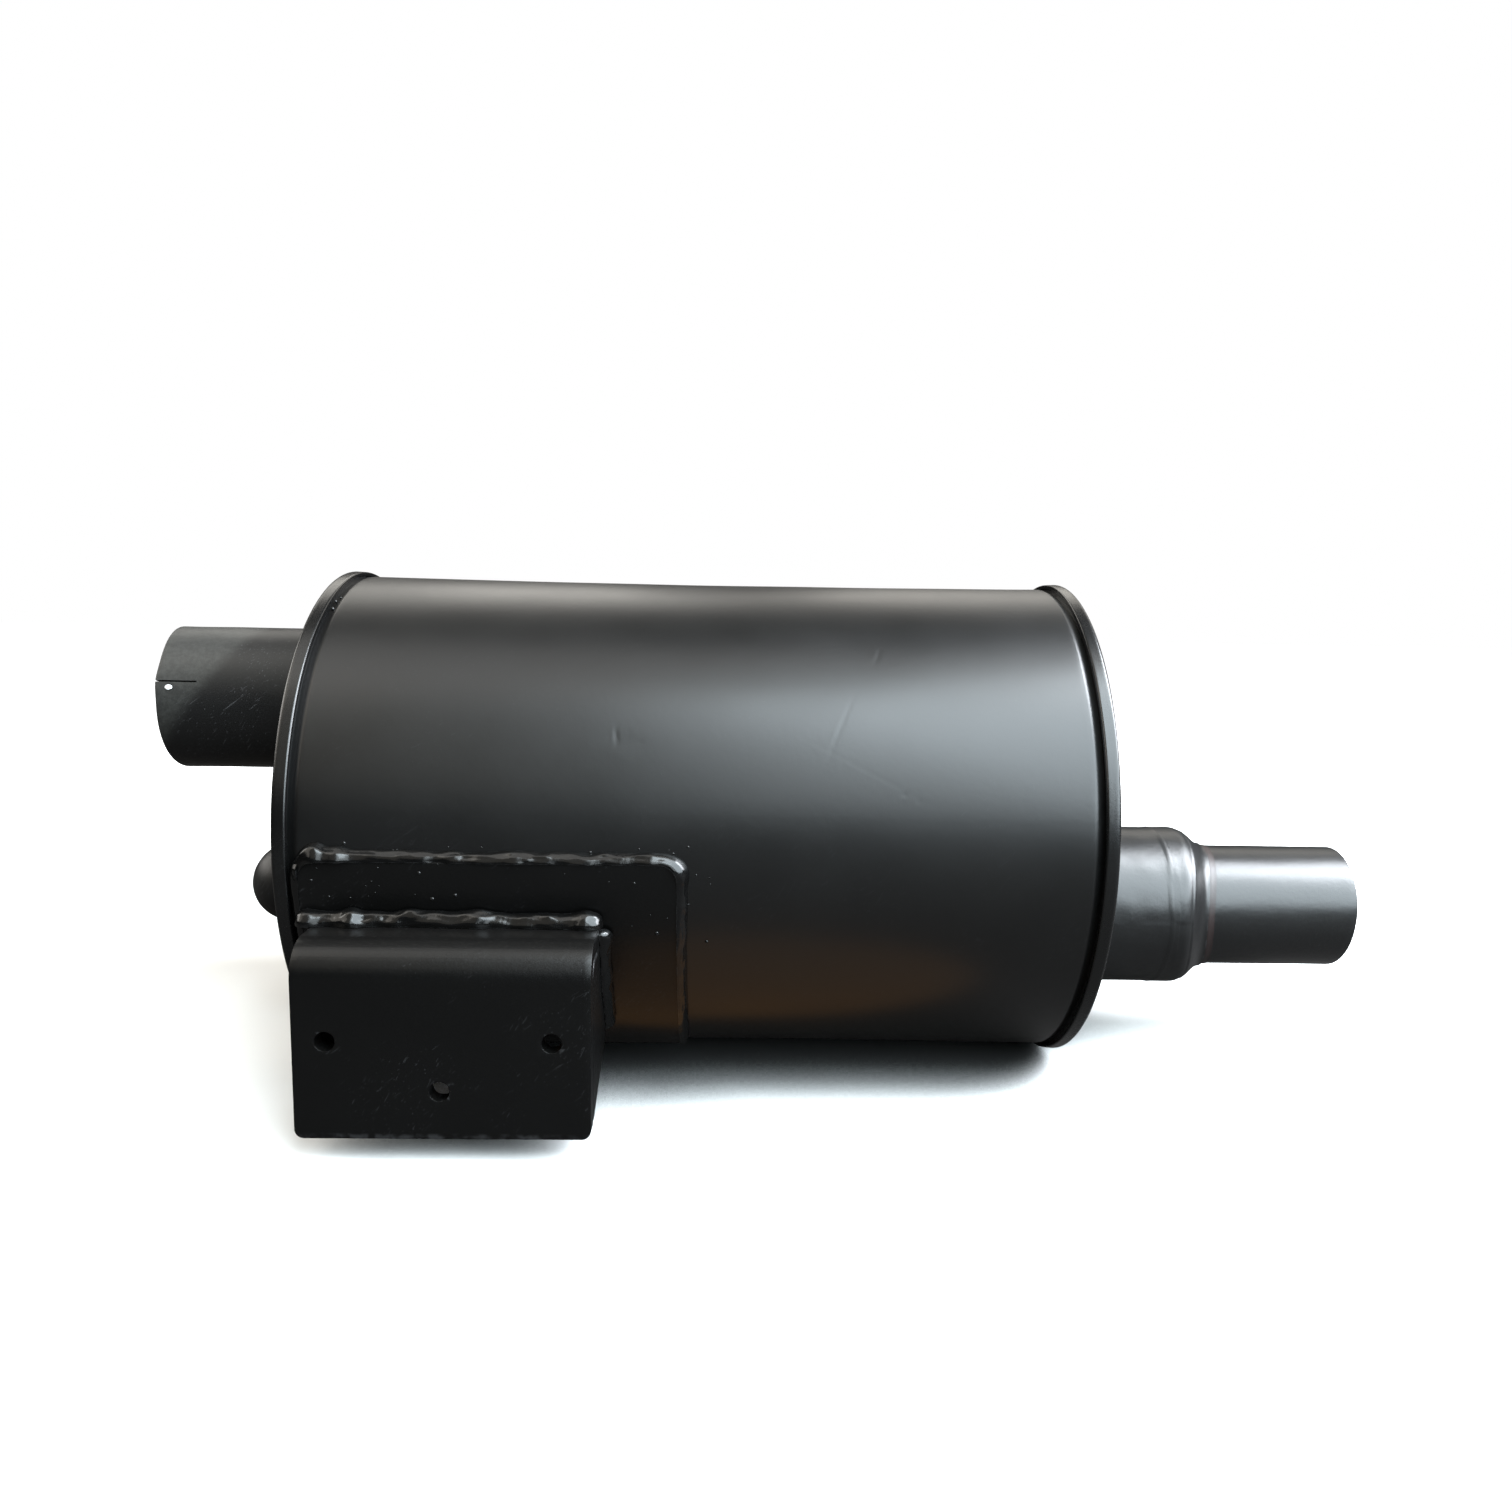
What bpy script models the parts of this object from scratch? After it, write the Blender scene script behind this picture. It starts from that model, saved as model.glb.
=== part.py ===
"""A welded steel exhaust muffler with an offset inlet socket, an outlet spigot and a bolt-on bracket.

The body is a round shell closed by two dished end caps, whose edges are rolled over the shell's.
Two baffles divide it into three chambers, joined by a perforated inlet tube, two crossover tubes
and a perforated outlet tube. A saddle plate on the front of the shell carries a bent mounting
plate with three bolt holes, stiffened by a gusset at each end.

World frame, in metres: +X runs along the body from the inlet to the outlet, +Z is up, and -Y is
the way the bracket faces. The origin is on the bracket's face, midway between its upper two holes.

Pieces are modelled in the body's own frame, whose X axis is the shell's axis and whose zero is
the outer face of the inlet end's rolled seam, and are parented to an empty at that point.
"""

import math

import bmesh
import bpy

# ---------------------------------------------------------------- driving dimensions, in metres

CLEARANCE = 0.0003

SHELL_OD = 0.190
SHELL_LENGTH = 0.289
SHELL_WALL = 0.0015
SHELL_WAIST = 0.0010

SEAM_PROUD = 0.0020
SEAM_WIDTH = 0.0050
SEAM_ROUND = 0.0009
GROOVE_WIDTH = 0.0026
GROOVE_DEPTH = 0.0007

CAP_WALL = 0.0015
CAP_RECESS = 0.0120
CAP_FILLET = 0.0050

SOCKET_OD = 0.0580
SOCKET_WALL = 0.0030
SOCKET_REACH = 0.0698
SOCKET_MARGIN = 0.0216
SOCKET_TAIL = 0.0080
SLOT_LENGTH = 0.0130
SLOT_WIDTH = 0.0018
SLOT_TILT = math.radians(17.5)

SPIGOT_OD = 0.0508
SPIGOT_WALL = 0.0020
SPIGOT_REACH = 0.1246
SPIGOT_TAIL = 0.0150

SLEEVE_OD = 0.0670
SLEEVE_WALL = 0.0025
SLEEVE_REACH = 0.0680
SLEEVE_MARGIN = 0.0230
SLEEVE_TAIL = 0.0060
SHOULDER_LENGTH = 0.0130

STUB_OD = 0.0340
STUB_WALL = 0.0025
STUB_REACH = 0.0465
STUB_TAIL = 0.0050
STUB_TO_SOCKET = 0.0317

BAFFLE_WALL = 0.0015
BAFFLE_FLANGE = 0.0120
BAFFLE_FILLET = 0.0030
INLET_CHAMBER = 0.0780
OUTLET_CHAMBER = 0.0840

TUBE_WALL = 0.0015
TUBE_OVERLAP = 0.0200
TUBE_PAST_BAFFLE = 0.0100
CROSSOVER_OD = 0.0380
CROSSOVER_MARGIN = 0.0100
PERFORATION_DIAMETER = 0.0060
PERFORATION_PITCH = 0.0170
PERFORATIONS_AROUND = 6

SADDLE_THICKNESS = 0.0030
SADDLE_TOP = math.radians(1.0)
SADDLE_BOTTOM = math.radians(60.0)
SADDLE_LEFT_OF_PLATE = 0.0050
SADDLE_RIGHT_OF_PLATE = 0.0262
SADDLE_CORNER = 0.0060

HOLE_DIAMETER = 0.0067
HOLE_SPACING = 0.0730
LOWER_HOLE_DROP = 0.0167
HOLE_TO_LEFT_EDGE = 0.0106
HOLE_TO_RIGHT_EDGE = 0.0127
HOLE_TO_LOWER_EDGE = 0.0162
HOLES_BELOW_FLANGE = 0.0319

PLATE_THICKNESS = 0.0060
PLATE_BEND = 0.0120
PLATE_CORNER = 0.0030
FACE_STANDOFF = 0.0263
FLANGE_DROP = 0.0236

GUSSET_THICKNESS = 0.0050
GUSSET_FOOT = 0.0030
GUSSET_END = math.radians(43.0)

PIPE_BEAD = 0.0050
NECK_BEAD = 0.0022
SADDLE_BEAD = 0.0034
FLANGE_BEAD = 0.0065
GUSSET_BEAD = 0.0038
BEAD_CROWN = 0.25

BODY_STEPS = 48
PIPE_STEPS = 32
TUBE_STEPS = 24

# ---------------------------------------------------------------- what follows from them

SHELL_RADIUS = SHELL_OD / 2
SHELL_BORE = SHELL_RADIUS - SHELL_WALL
SEAM_RADIUS = SHELL_RADIUS + SEAM_PROUD
RECESS_RADIUS = SHELL_BORE - CLEARANCE - CAP_WALL
SHELL_START = CAP_WALL + CLEARANCE
CAP_FACE = CAP_RECESS
CAP_BACK = CAP_RECESS + CAP_WALL

SOCKET_RADIUS = SOCKET_OD / 2
SOCKET_BORE = SOCKET_RADIUS - SOCKET_WALL
SOCKET_Z = SHELL_RADIUS - SOCKET_RADIUS - SOCKET_MARGIN

SLEEVE_RADIUS = SLEEVE_OD / 2
SPIGOT_RADIUS = SPIGOT_OD / 2
SPIGOT_BORE = SPIGOT_RADIUS - SPIGOT_WALL
OUTLET_Z = -(SHELL_RADIUS - SLEEVE_RADIUS - SLEEVE_MARGIN)

STUB_RADIUS = STUB_OD / 2
STUB_Z = SOCKET_Z - SOCKET_RADIUS - STUB_TO_SOCKET - STUB_RADIUS

INLET_TUBE_RADIUS = SOCKET_BORE - CLEARANCE
OUTLET_TUBE_RADIUS = SPIGOT_BORE - CLEARANCE
CROSSOVER_RADIUS = CROSSOVER_OD / 2
CROSSOVER_Y = SHELL_RADIUS - CROSSOVER_RADIUS - CROSSOVER_MARGIN
CROSSOVER_Z = (SOCKET_Z + OUTLET_Z) / 2
INLET_BAFFLE_X = CAP_BACK + INLET_CHAMBER
OUTLET_BAFFLE_X = SHELL_LENGTH - CAP_BACK - OUTLET_CHAMBER

FACE_Y = -(SHELL_RADIUS + FACE_STANDOFF)
FLANGE_Z = -FLANGE_DROP
HOLE_Z = FLANGE_Z - HOLES_BELOW_FLANGE
PLATE_BOTTOM_Z = HOLE_Z - LOWER_HOLE_DROP - HOLE_TO_LOWER_EDGE

SADDLE_START = SEAM_WIDTH + SADDLE_BEAD + 3 * CLEARANCE
PLATE_START = SADDLE_START + SADDLE_LEFT_OF_PLATE
LEFT_HOLE_X = PLATE_START + HOLE_TO_LEFT_EDGE
HOLES_X = LEFT_HOLE_X + HOLE_SPACING / 2
PLATE_END = LEFT_HOLE_X + HOLE_SPACING + HOLE_TO_RIGHT_EDGE
SADDLE_END = PLATE_END + SADDLE_RIGHT_OF_PLATE
SADDLE_OUTSIDE = SHELL_RADIUS + CLEARANCE + SADDLE_THICKNESS


def shell_radius(x):
    """Outer radius of the shell, which draws in a little between its two seams."""
    along = (2 * x - SHELL_LENGTH) / SHELL_LENGTH
    return SHELL_RADIUS - SHELL_WAIST * max(0.0, 1 - along * along)


# ---------------------------------------------------------------- making objects


def clear_scene():
    for obj in list(bpy.data.objects):
        bpy.data.objects.remove(obj, do_unlink=True)


def paint(name, colour, roughness, metallic=0.0):
    """A plain finish."""
    material = bpy.data.materials.new(name)
    material.use_nodes = True
    shader = material.node_tree.nodes["Principled BSDF"]
    shader.inputs["Base Color"].default_value = (*colour, 1.0)
    shader.inputs["Roughness"].default_value = roughness
    shader.inputs["Metallic"].default_value = metallic
    return material


def body_frame():
    """The empty at the inlet seam's centre that carries every piece."""
    empty = bpy.data.objects.new("body_frame", None)
    empty.location = (-HOLES_X, -FACE_Y, -HOLE_Z)
    bpy.context.scene.collection.objects.link(empty)
    return empty


def piece(name, mesh_tool, material, frame, offset=(0.0, 0.0)):
    """An object from a bmesh in the body's frame, with its own axis at offset (y, z)."""
    bmesh.ops.recalc_face_normals(mesh_tool, faces=mesh_tool.faces)
    mesh = bpy.data.meshes.new(name)
    mesh_tool.to_mesh(mesh)
    mesh_tool.free()
    mesh.shade_smooth()
    mesh.set_sharp_from_angle(angle=math.radians(30))
    obj = bpy.data.objects.new(name, mesh)
    obj.location = (0.0, *offset)
    obj.parent = frame
    if material:
        obj.data.materials.append(material)
    bpy.context.scene.collection.objects.link(obj)
    return obj


def cutter(name, mesh_tool, frame, offset=(0.0, 0.0)):
    obj = piece(name, mesh_tool, None, frame, offset)
    obj.hide_render = True
    obj.display_type = "WIRE"
    return obj


def cut(obj, tool):
    modifier = obj.modifiers.new(tool.name, "BOOLEAN")
    modifier.operation = "DIFFERENCE"
    modifier.solver = "EXACT"
    modifier.object = tool


# ---------------------------------------------------------------- outlines and solids


def arc(centre_x, centre_r, radius, start, end, count):
    """Points (x, r) on a round corner, from angle start to end in degrees, 0 towards +x."""
    angles = [math.radians(start + (end - start) * k / count) for k in range(count + 1)]
    return [(centre_x + radius * math.cos(a), centre_r + radius * math.sin(a)) for a in angles]


def turned(outline, steps):
    """Spins an outline of (x, radius) points about X. An outline that ends on the axis stays open."""
    mesh_tool = bmesh.new()
    corners = [mesh_tool.verts.new((x, 0.0, radius)) for x, radius in outline]
    edges = [mesh_tool.edges.new(pair) for pair in zip(corners, corners[1:])]
    if outline[0][1] > 0:
        edges.append(mesh_tool.edges.new((corners[-1], corners[0])))
    bmesh.ops.spin(
        mesh_tool,
        geom=corners + edges,
        cent=(0.0, 0.0, 0.0),
        axis=(1.0, 0.0, 0.0),
        angle=2 * math.pi,
        steps=steps,
    )
    bmesh.ops.remove_doubles(mesh_tool, verts=mesh_tool.verts, dist=1e-6)
    return mesh_tool


def tube(start, end, radius, wall, steps):
    bore = radius - wall
    return turned([(start, radius), (end, radius), (end, bore), (start, bore)], steps)


def swept(rings):
    """A solid through a row of equal rings of points, closed at both ends."""
    mesh_tool = bmesh.new()
    rows = [[mesh_tool.verts.new(point) for point in ring] for ring in rings]
    for near, far in zip(rows, rows[1:]):
        for k in range(len(near)):
            after = (k + 1) % len(near)
            mesh_tool.faces.new((near[k], near[after], far[after], far[k]))
    mesh_tool.faces.new(rows[0])
    mesh_tool.faces.new(rows[-1])
    return mesh_tool


def extruded(outline, start, end):
    """An outline of (y, z) points, drawn out along X."""
    return swept([[(x, y, z) for y, z in outline] for x in (start, end)])


def rod(start, end, radius, steps, centre=(0.0, 0.0)):
    """A round bar along X, for cutting."""
    angles = [2 * math.pi * k / steps for k in range(steps)]
    circle = [(centre[0] + radius * math.cos(a), centre[1] + radius * math.sin(a)) for a in angles]
    return extruded(circle, start, end)


def on_body(x, angle, radius):
    """A point on the front of the body: angle is measured down from the level of its axis."""
    return (x, -radius * math.cos(angle), -radius * math.sin(angle))


def front_y(z, radius):
    """Where a circle about the body's axis stands, at height z on the front."""
    return -math.sqrt(radius * radius - z * z)


def fillet_section(leg_along, leg_up):
    """Outline (along, up) of a weld bead that fills a square corner, with a slightly full face."""
    crown_along = leg_along * (0.5 + BEAD_CROWN)
    crown_up = leg_up * (0.5 + BEAD_CROWN)
    return [
        (0.0, 0.0),
        (leg_along, 0.0),
        (leg_along * 0.95, leg_up * 0.35),
        (crown_along, crown_up * 0.85),
        (leg_along * 0.35, leg_up * 0.95),
        (0.0, leg_up),
    ]


# ---------------------------------------------------------------- body


def shell_outline():
    """The shell's section: outside with a groove beside each seam, then back along the inside."""
    start, end = SHELL_START, SHELL_LENGTH - SHELL_START
    groove = [
        (SEAM_WIDTH - 2 * CLEARANCE, 0.0),
        (SEAM_WIDTH - CLEARANCE, GROOVE_DEPTH),
        (SEAM_WIDTH + GROOVE_WIDTH * 0.7, GROOVE_DEPTH),
        (SEAM_WIDTH + GROOVE_WIDTH, 0.0),
    ]
    left = [(x, SHELL_RADIUS - depth) for x, depth in groove]
    right = [(SHELL_LENGTH - x, radius) for x, radius in reversed(left)]
    flat = SEAM_WIDTH + GROOVE_WIDTH
    waist = [flat + (SHELL_LENGTH - 2 * flat) * k / 6 for k in range(1, 6)]
    outside = [(start, SHELL_RADIUS), *left]
    outside += [(x, shell_radius(x)) for x in waist]
    outside += [*right, (end, SHELL_RADIUS)]
    inside = [(x, shell_radius(x) - SHELL_WALL) for x in reversed(waist)]
    return outside + [(end, SHELL_BORE), (SHELL_LENGTH - CAP_BACK, SHELL_BORE), *inside,
                      (CAP_BACK, SHELL_BORE), (start, SHELL_BORE)]


def cap_outline():
    """The inlet cap's section, from its centre out over the shell's edge and back inside."""
    lip = SHELL_RADIUS + CLEARANCE
    skirt = RECESS_RADIUS + CAP_WALL
    turn = CAP_FILLET + CAP_WALL
    face = [(CAP_FACE, 0.0)]
    face += arc(CAP_FACE - CAP_FILLET, RECESS_RADIUS - CAP_FILLET, CAP_FILLET, 0, 90, 3)
    face += arc(SEAM_ROUND, RECESS_RADIUS + SEAM_ROUND, SEAM_ROUND, 270, 180, 1)
    face += arc(SEAM_ROUND, SEAM_RADIUS - SEAM_ROUND, SEAM_ROUND, 180, 90, 2)
    face += arc(SEAM_WIDTH - SEAM_ROUND, SEAM_RADIUS - SEAM_ROUND, SEAM_ROUND, 90, 0, 1)
    back = [(SEAM_WIDTH, lip), (CAP_WALL, lip), (CAP_WALL, skirt)]
    back += arc(CAP_BACK - turn, skirt - turn, turn, 90, 0, 2)
    back += [(CAP_BACK, 0.0)]
    return face + back


def make_shell(frame):
    finish = paint("shell_paint", (0.035, 0.037, 0.040), 0.42)
    return piece("shell", turned(shell_outline(), BODY_STEPS), finish, frame)


def make_caps(frame):
    """The two end caps, each with the openings that its pipes pass through."""
    finish = paint("cap_paint", (0.033, 0.034, 0.036), 0.45)
    inlet_outline = cap_outline()
    outlet_outline = [(SHELL_LENGTH - x, radius) for x, radius in inlet_outline]
    inlet_cap = piece("inlet_end_cap", turned(inlet_outline, BODY_STEPS), finish, frame)
    outlet_cap = piece("outlet_end_cap", turned(outlet_outline, BODY_STEPS), finish, frame)
    openings = (
        (inlet_cap, "socket_opening", SOCKET_RADIUS, SOCKET_Z, CAP_FACE),
        (inlet_cap, "stub_opening", STUB_RADIUS, STUB_Z, CAP_FACE),
        (outlet_cap, "sleeve_opening", SLEEVE_RADIUS, OUTLET_Z, SHELL_LENGTH - CAP_BACK),
    )
    for cap, name, radius, height, face in openings:
        ends = (face - 3 * CAP_WALL, face + 4 * CAP_WALL)
        hole = rod(*ends, radius + CLEARANCE, PIPE_STEPS)
        cut(cap, cutter(name, hole, frame, (0.0, height)))


# ---------------------------------------------------------------- pipes


def make_socket(frame):
    """The inlet socket, sawn through at its mouth so that a clamp can close it on a pipe."""
    finish = paint("socket_paint", (0.036, 0.037, 0.040), 0.38)
    pipe = tube(-SOCKET_REACH, CAP_BACK + SOCKET_TAIL, SOCKET_RADIUS, SOCKET_WALL, PIPE_STEPS)
    socket = piece("inlet_socket", pipe, finish, frame, (0.0, SOCKET_Z))
    half = SLOT_WIDTH / 2
    blade = [(-SOCKET_OD, -half), (SOCKET_OD, -half), (SOCKET_OD, half), (-SOCKET_OD, half)]
    saw = extruded(blade, -SOCKET_REACH - SLOT_LENGTH, -SOCKET_REACH + SLOT_LENGTH)
    slot = cutter("socket_slot", saw, frame, (0.0, SOCKET_Z))
    slot.rotation_euler.x = -SLOT_TILT
    cut(socket, slot)


def stub_outline():
    """A closed tube: a domed end outside, open inside the inlet chamber."""
    inner = STUB_RADIUS - STUB_WALL
    dome_x = -STUB_REACH + STUB_RADIUS
    tail = CAP_BACK + STUB_TAIL
    outside = arc(dome_x, 0.0, STUB_RADIUS, 180, 90, 7)
    inside = arc(dome_x, 0.0, inner, 90, 180, 6)
    return outside + [(tail, STUB_RADIUS), (tail, inner)] + inside


def make_stub(frame):
    finish = paint("stub_paint", (0.034, 0.035, 0.037), 0.42)
    return piece("closed_stub", turned(stub_outline(), TUBE_STEPS), finish, frame, (0.0, STUB_Z))


def sleeve_outline():
    """A wide pipe whose end is drawn down over a round shoulder to the spigot."""
    neck = SPIGOT_RADIUS + CLEARANCE
    end = SHELL_LENGTH + SLEEVE_REACH
    start = SHELL_LENGTH - CAP_BACK - SLEEVE_TAIL
    drop = SLEEVE_RADIUS - neck - SLEEVE_WALL
    outside = [(start, SLEEVE_RADIUS)]
    for k in range(7):
        share = k / 6
        lower = (1 - math.cos(math.pi * share)) / 2
        outside.append((end - SHOULDER_LENGTH * (1 - share), SLEEVE_RADIUS - drop * lower))
    inside = [(end, neck), (end - SHOULDER_LENGTH * 0.45, neck),
              (end - SHOULDER_LENGTH, SLEEVE_RADIUS - SLEEVE_WALL),
              (start, SLEEVE_RADIUS - SLEEVE_WALL)]
    return outside + inside


def make_outlet(frame):
    finish = paint("sleeve_paint", (0.040, 0.040, 0.043), 0.35)
    place = (0.0, OUTLET_Z)
    piece("outlet_sleeve", turned(sleeve_outline(), PIPE_STEPS), finish, frame, place)
    start = SHELL_LENGTH - CAP_BACK - SPIGOT_TAIL
    end = SHELL_LENGTH + SPIGOT_REACH
    finish = paint("spigot_paint", (0.042, 0.041, 0.043), 0.33)
    pipe = tube(start, end, SPIGOT_RADIUS, SPIGOT_WALL, PIPE_STEPS)
    piece("outlet_spigot", pipe, finish, frame, place)


# ---------------------------------------------------------------- inside


def perforations(start, end, radius, clear_of_wall):
    """Short rods through one tube's wall, in rings between start and end."""
    rows = max(1, int((end - start) / PERFORATION_PITCH))
    mesh_tool = bmesh.new()
    for row in range(rows):
        x = start + (end - start) * (row + 0.5) / rows
        for turn in range(PERFORATIONS_AROUND):
            angle = 2 * math.pi * (turn + 0.5 * (row % 2)) / PERFORATIONS_AROUND
            outward = (0.0, math.cos(angle), math.sin(angle))
            sideways = (0.0, -outward[2], outward[1])
            rings = []
            for reach in (radius - clear_of_wall, radius + clear_of_wall):
                ring = []
                for corner in range(8):
                    around = 2 * math.pi * corner / 8
                    across = PERFORATION_DIAMETER / 2 * math.cos(around)
                    along = PERFORATION_DIAMETER / 2 * math.sin(around)
                    ring.append((x + along, outward[1] * reach + sideways[1] * across,
                                 outward[2] * reach + sideways[2] * across))
                rings.append([mesh_tool.verts.new(point) for point in ring])
            low, high = rings
            for k in range(8):
                mesh_tool.faces.new((low[k], low[(k + 1) % 8], high[(k + 1) % 8], high[k]))
            mesh_tool.faces.new(low)
            mesh_tool.faces.new(high)
    return mesh_tool


def make_tubes(frame):
    """The perforated inlet and outlet tubes and the two plain crossover tubes."""
    steel = paint("inner_steel", (0.30, 0.28, 0.26), 0.55, 1.0)
    socket_end = CAP_BACK + SOCKET_TAIL
    spigot_end = SHELL_LENGTH - CAP_BACK - SPIGOT_TAIL
    past = TUBE_PAST_BAFFLE
    runs = (
        ("inlet_tube", socket_end - TUBE_OVERLAP, OUTLET_BAFFLE_X + past, INLET_TUBE_RADIUS, SOCKET_Z),
        ("outlet_tube", INLET_BAFFLE_X - past, spigot_end + TUBE_OVERLAP, OUTLET_TUBE_RADIUS, OUTLET_Z),
    )
    for name, start, end, radius, height in runs:
        pipe = tube(start, end, radius, TUBE_WALL, TUBE_STEPS)
        obj = piece(name, pipe, steel, frame, (0.0, height))
        span = (INLET_BAFFLE_X + BAFFLE_FLANGE, OUTLET_BAFFLE_X - BAFFLE_FLANGE)
        holes = perforations(*span, radius, 2.5 * TUBE_WALL)
        cut(obj, cutter(name + "_perforations", holes, frame, (0.0, height)))
    ends = (INLET_BAFFLE_X - past, OUTLET_BAFFLE_X + past)
    for name, side in (("crossover_tube_front", -1), ("crossover_tube_back", 1)):
        pipe = tube(*ends, CROSSOVER_RADIUS, TUBE_WALL, TUBE_STEPS)
        piece(name, pipe, steel, frame, (side * CROSSOVER_Y, CROSSOVER_Z))


def baffle_outline(face, towards):
    """A flanged disc with its face at x = face and its flange pointing towards +x or -x."""
    far = face + towards * BAFFLE_FLANGE
    outer = min(shell_radius(face), shell_radius(far)) - SHELL_WALL - CLEARANCE
    turn = BAFFLE_FILLET
    edge = outer - turn
    outside = [(face, 0.0)]
    outside += [(face + towards * x, edge + radius) for x, radius in arc(turn, 0.0, turn, 180, 90, 3)]
    inner = [(far, outer), (far, outer - BAFFLE_WALL), (face + towards * turn, outer - BAFFLE_WALL),
             (face + towards * BAFFLE_WALL, edge), (face + towards * BAFFLE_WALL, 0.0)]
    return outside + inner


def make_baffles(frame):
    """The two baffles, each pierced for the four tubes that cross it."""
    steel = paint("baffle_steel", (0.27, 0.26, 0.25), 0.6, 1.0)
    tubes = (
        (INLET_TUBE_RADIUS, 0.0, SOCKET_Z),
        (OUTLET_TUBE_RADIUS, 0.0, OUTLET_Z),
        (CROSSOVER_RADIUS, -CROSSOVER_Y, CROSSOVER_Z),
        (CROSSOVER_RADIUS, CROSSOVER_Y, CROSSOVER_Z),
    )
    for name, face, towards in (("inlet_baffle", INLET_BAFFLE_X, 1), ("outlet_baffle", OUTLET_BAFFLE_X, -1)):
        baffle = piece(name, turned(baffle_outline(face, towards), BODY_STEPS), steel, frame)
        for number, (radius, y, z) in enumerate(tubes):
            ends = (face - 3 * BAFFLE_WALL, face + 3 * BAFFLE_WALL)
            hole = rod(*ends, radius + CLEARANCE, TUBE_STEPS)
            cut(baffle, cutter(f"{name}_opening_{number}", hole, frame, (y, z)))


# ---------------------------------------------------------------- bracket


def saddle_edge(corner_steps):
    """Round the saddle from its lower left corner, over the top, to its lower right corner.

    Each entry is (x, angle, outward along x, outward along the angle).
    """
    radius = SHELL_RADIUS + SADDLE_THICKNESS
    turn = SADDLE_CORNER
    turn_angle = turn / radius
    side = [SADDLE_BOTTOM + (SADDLE_TOP + turn_angle - SADDLE_BOTTOM) * k / 10 for k in range(10)]
    path = [(SADDLE_START, angle, -1.0, 0.0) for angle in side]
    for centre_x, first in ((SADDLE_START + turn, 180), (SADDLE_END - turn, 270)):
        for k in range(corner_steps + 1):
            around = math.radians(first + 90 * k / corner_steps)
            out_x, out_angle = math.cos(around), math.sin(around)
            path.append((centre_x + turn * out_x, SADDLE_TOP + turn_angle + turn_angle * out_angle,
                         out_x, out_angle))
    path += [(SADDLE_END, angle, 1.0, 0.0) for angle in reversed(side)]
    return path


def saddle_columns():
    """(x, upper angle) across the saddle, close together at its two rounded upper corners."""
    upper = [(x, angle) for x, angle, _, out_angle in saddle_edge(4) if out_angle < -1e-6]
    left_end = (SADDLE_START, SADDLE_TOP + SADDLE_CORNER / (SHELL_RADIUS + SADDLE_THICKNESS))
    right_end = (SADDLE_END, left_end[1])
    half = len(upper) // 2
    run = SADDLE_END - SADDLE_START - 2 * SADDLE_CORNER
    flat = [(SADDLE_START + SADDLE_CORNER + run * k / 5, SADDLE_TOP) for k in range(1, 5)]
    return [left_end, *upper[:half], *flat, *upper[half:], right_end]


def make_saddle(frame):
    """The doubler plate, rolled to lie on the shell."""
    finish = paint("saddle_paint", (0.034, 0.035, 0.036), 0.36)
    rings = []
    for x, upper in saddle_columns():
        base = shell_radius(x) + CLEARANCE
        angles = [upper + (SADDLE_BOTTOM - upper) * k / 12 for k in range(13)]
        outside = [on_body(x, angle, base + SADDLE_THICKNESS) for angle in angles]
        inside = [on_body(x, angle, base) for angle in reversed(angles)]
        rings.append(outside + inside)
    piece("saddle_plate", swept(rings), finish, frame)


def plate_outline():
    """The bent plate's section (y, z): a short flange, a bend and the long bolted leg."""
    inner_bend = PLATE_BEND - PLATE_THICKNESS
    centre = (FACE_Y + PLATE_BEND, FLANGE_Z - PLATE_BEND)
    stand = SADDLE_OUTSIDE + CLEARANCE
    lower = FLANGE_Z - PLATE_THICKNESS
    outside = [(front_y(FLANGE_Z, stand), FLANGE_Z)]
    outside += [(y, z) for y, z in arc(*centre, PLATE_BEND, 90, 180, 6)]
    outside += [(FACE_Y, PLATE_BOTTOM_Z), (FACE_Y + PLATE_THICKNESS, PLATE_BOTTOM_Z)]
    inside = [(y, z) for y, z in arc(*centre, inner_bend, 180, 90, 5)]
    return outside + inside + [(front_y(lower, stand), lower)]


def make_plate(frame):
    """The mounting plate, with its three bolt holes and eased lower corners."""
    finish = paint("plate_paint", (0.030, 0.031, 0.032), 0.40)
    mesh_tool = extruded(plate_outline(), PLATE_START, PLATE_END)
    corners = [
        edge
        for edge in mesh_tool.edges
        if all(abs(vert.co.z - PLATE_BOTTOM_Z) < 1e-6 for vert in edge.verts)
        and abs(edge.verts[0].co.x - edge.verts[1].co.x) < 1e-6
    ]
    bmesh.ops.bevel(mesh_tool, geom=corners, offset=PLATE_CORNER, segments=3, profile=0.5, affect="EDGES")
    plate = piece("mounting_plate", mesh_tool, finish, frame)
    centres = (
        ("bolt_hole_left", -HOLE_SPACING / 2, 0.0),
        ("bolt_hole_right", HOLE_SPACING / 2, 0.0),
        ("bolt_hole_lower", 0.0, -LOWER_HOLE_DROP),
    )
    for name, x, z in centres:
        drill = rod(-PLATE_THICKNESS, 2 * PLATE_THICKNESS, HOLE_DIAMETER / 2, TUBE_STEPS)
        hole = cutter(name, drill, frame)
        hole.rotation_euler.z = math.pi / 2
        hole.location = (HOLES_X + x, FACE_Y, HOLE_Z + z)
        cut(plate, hole)


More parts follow.
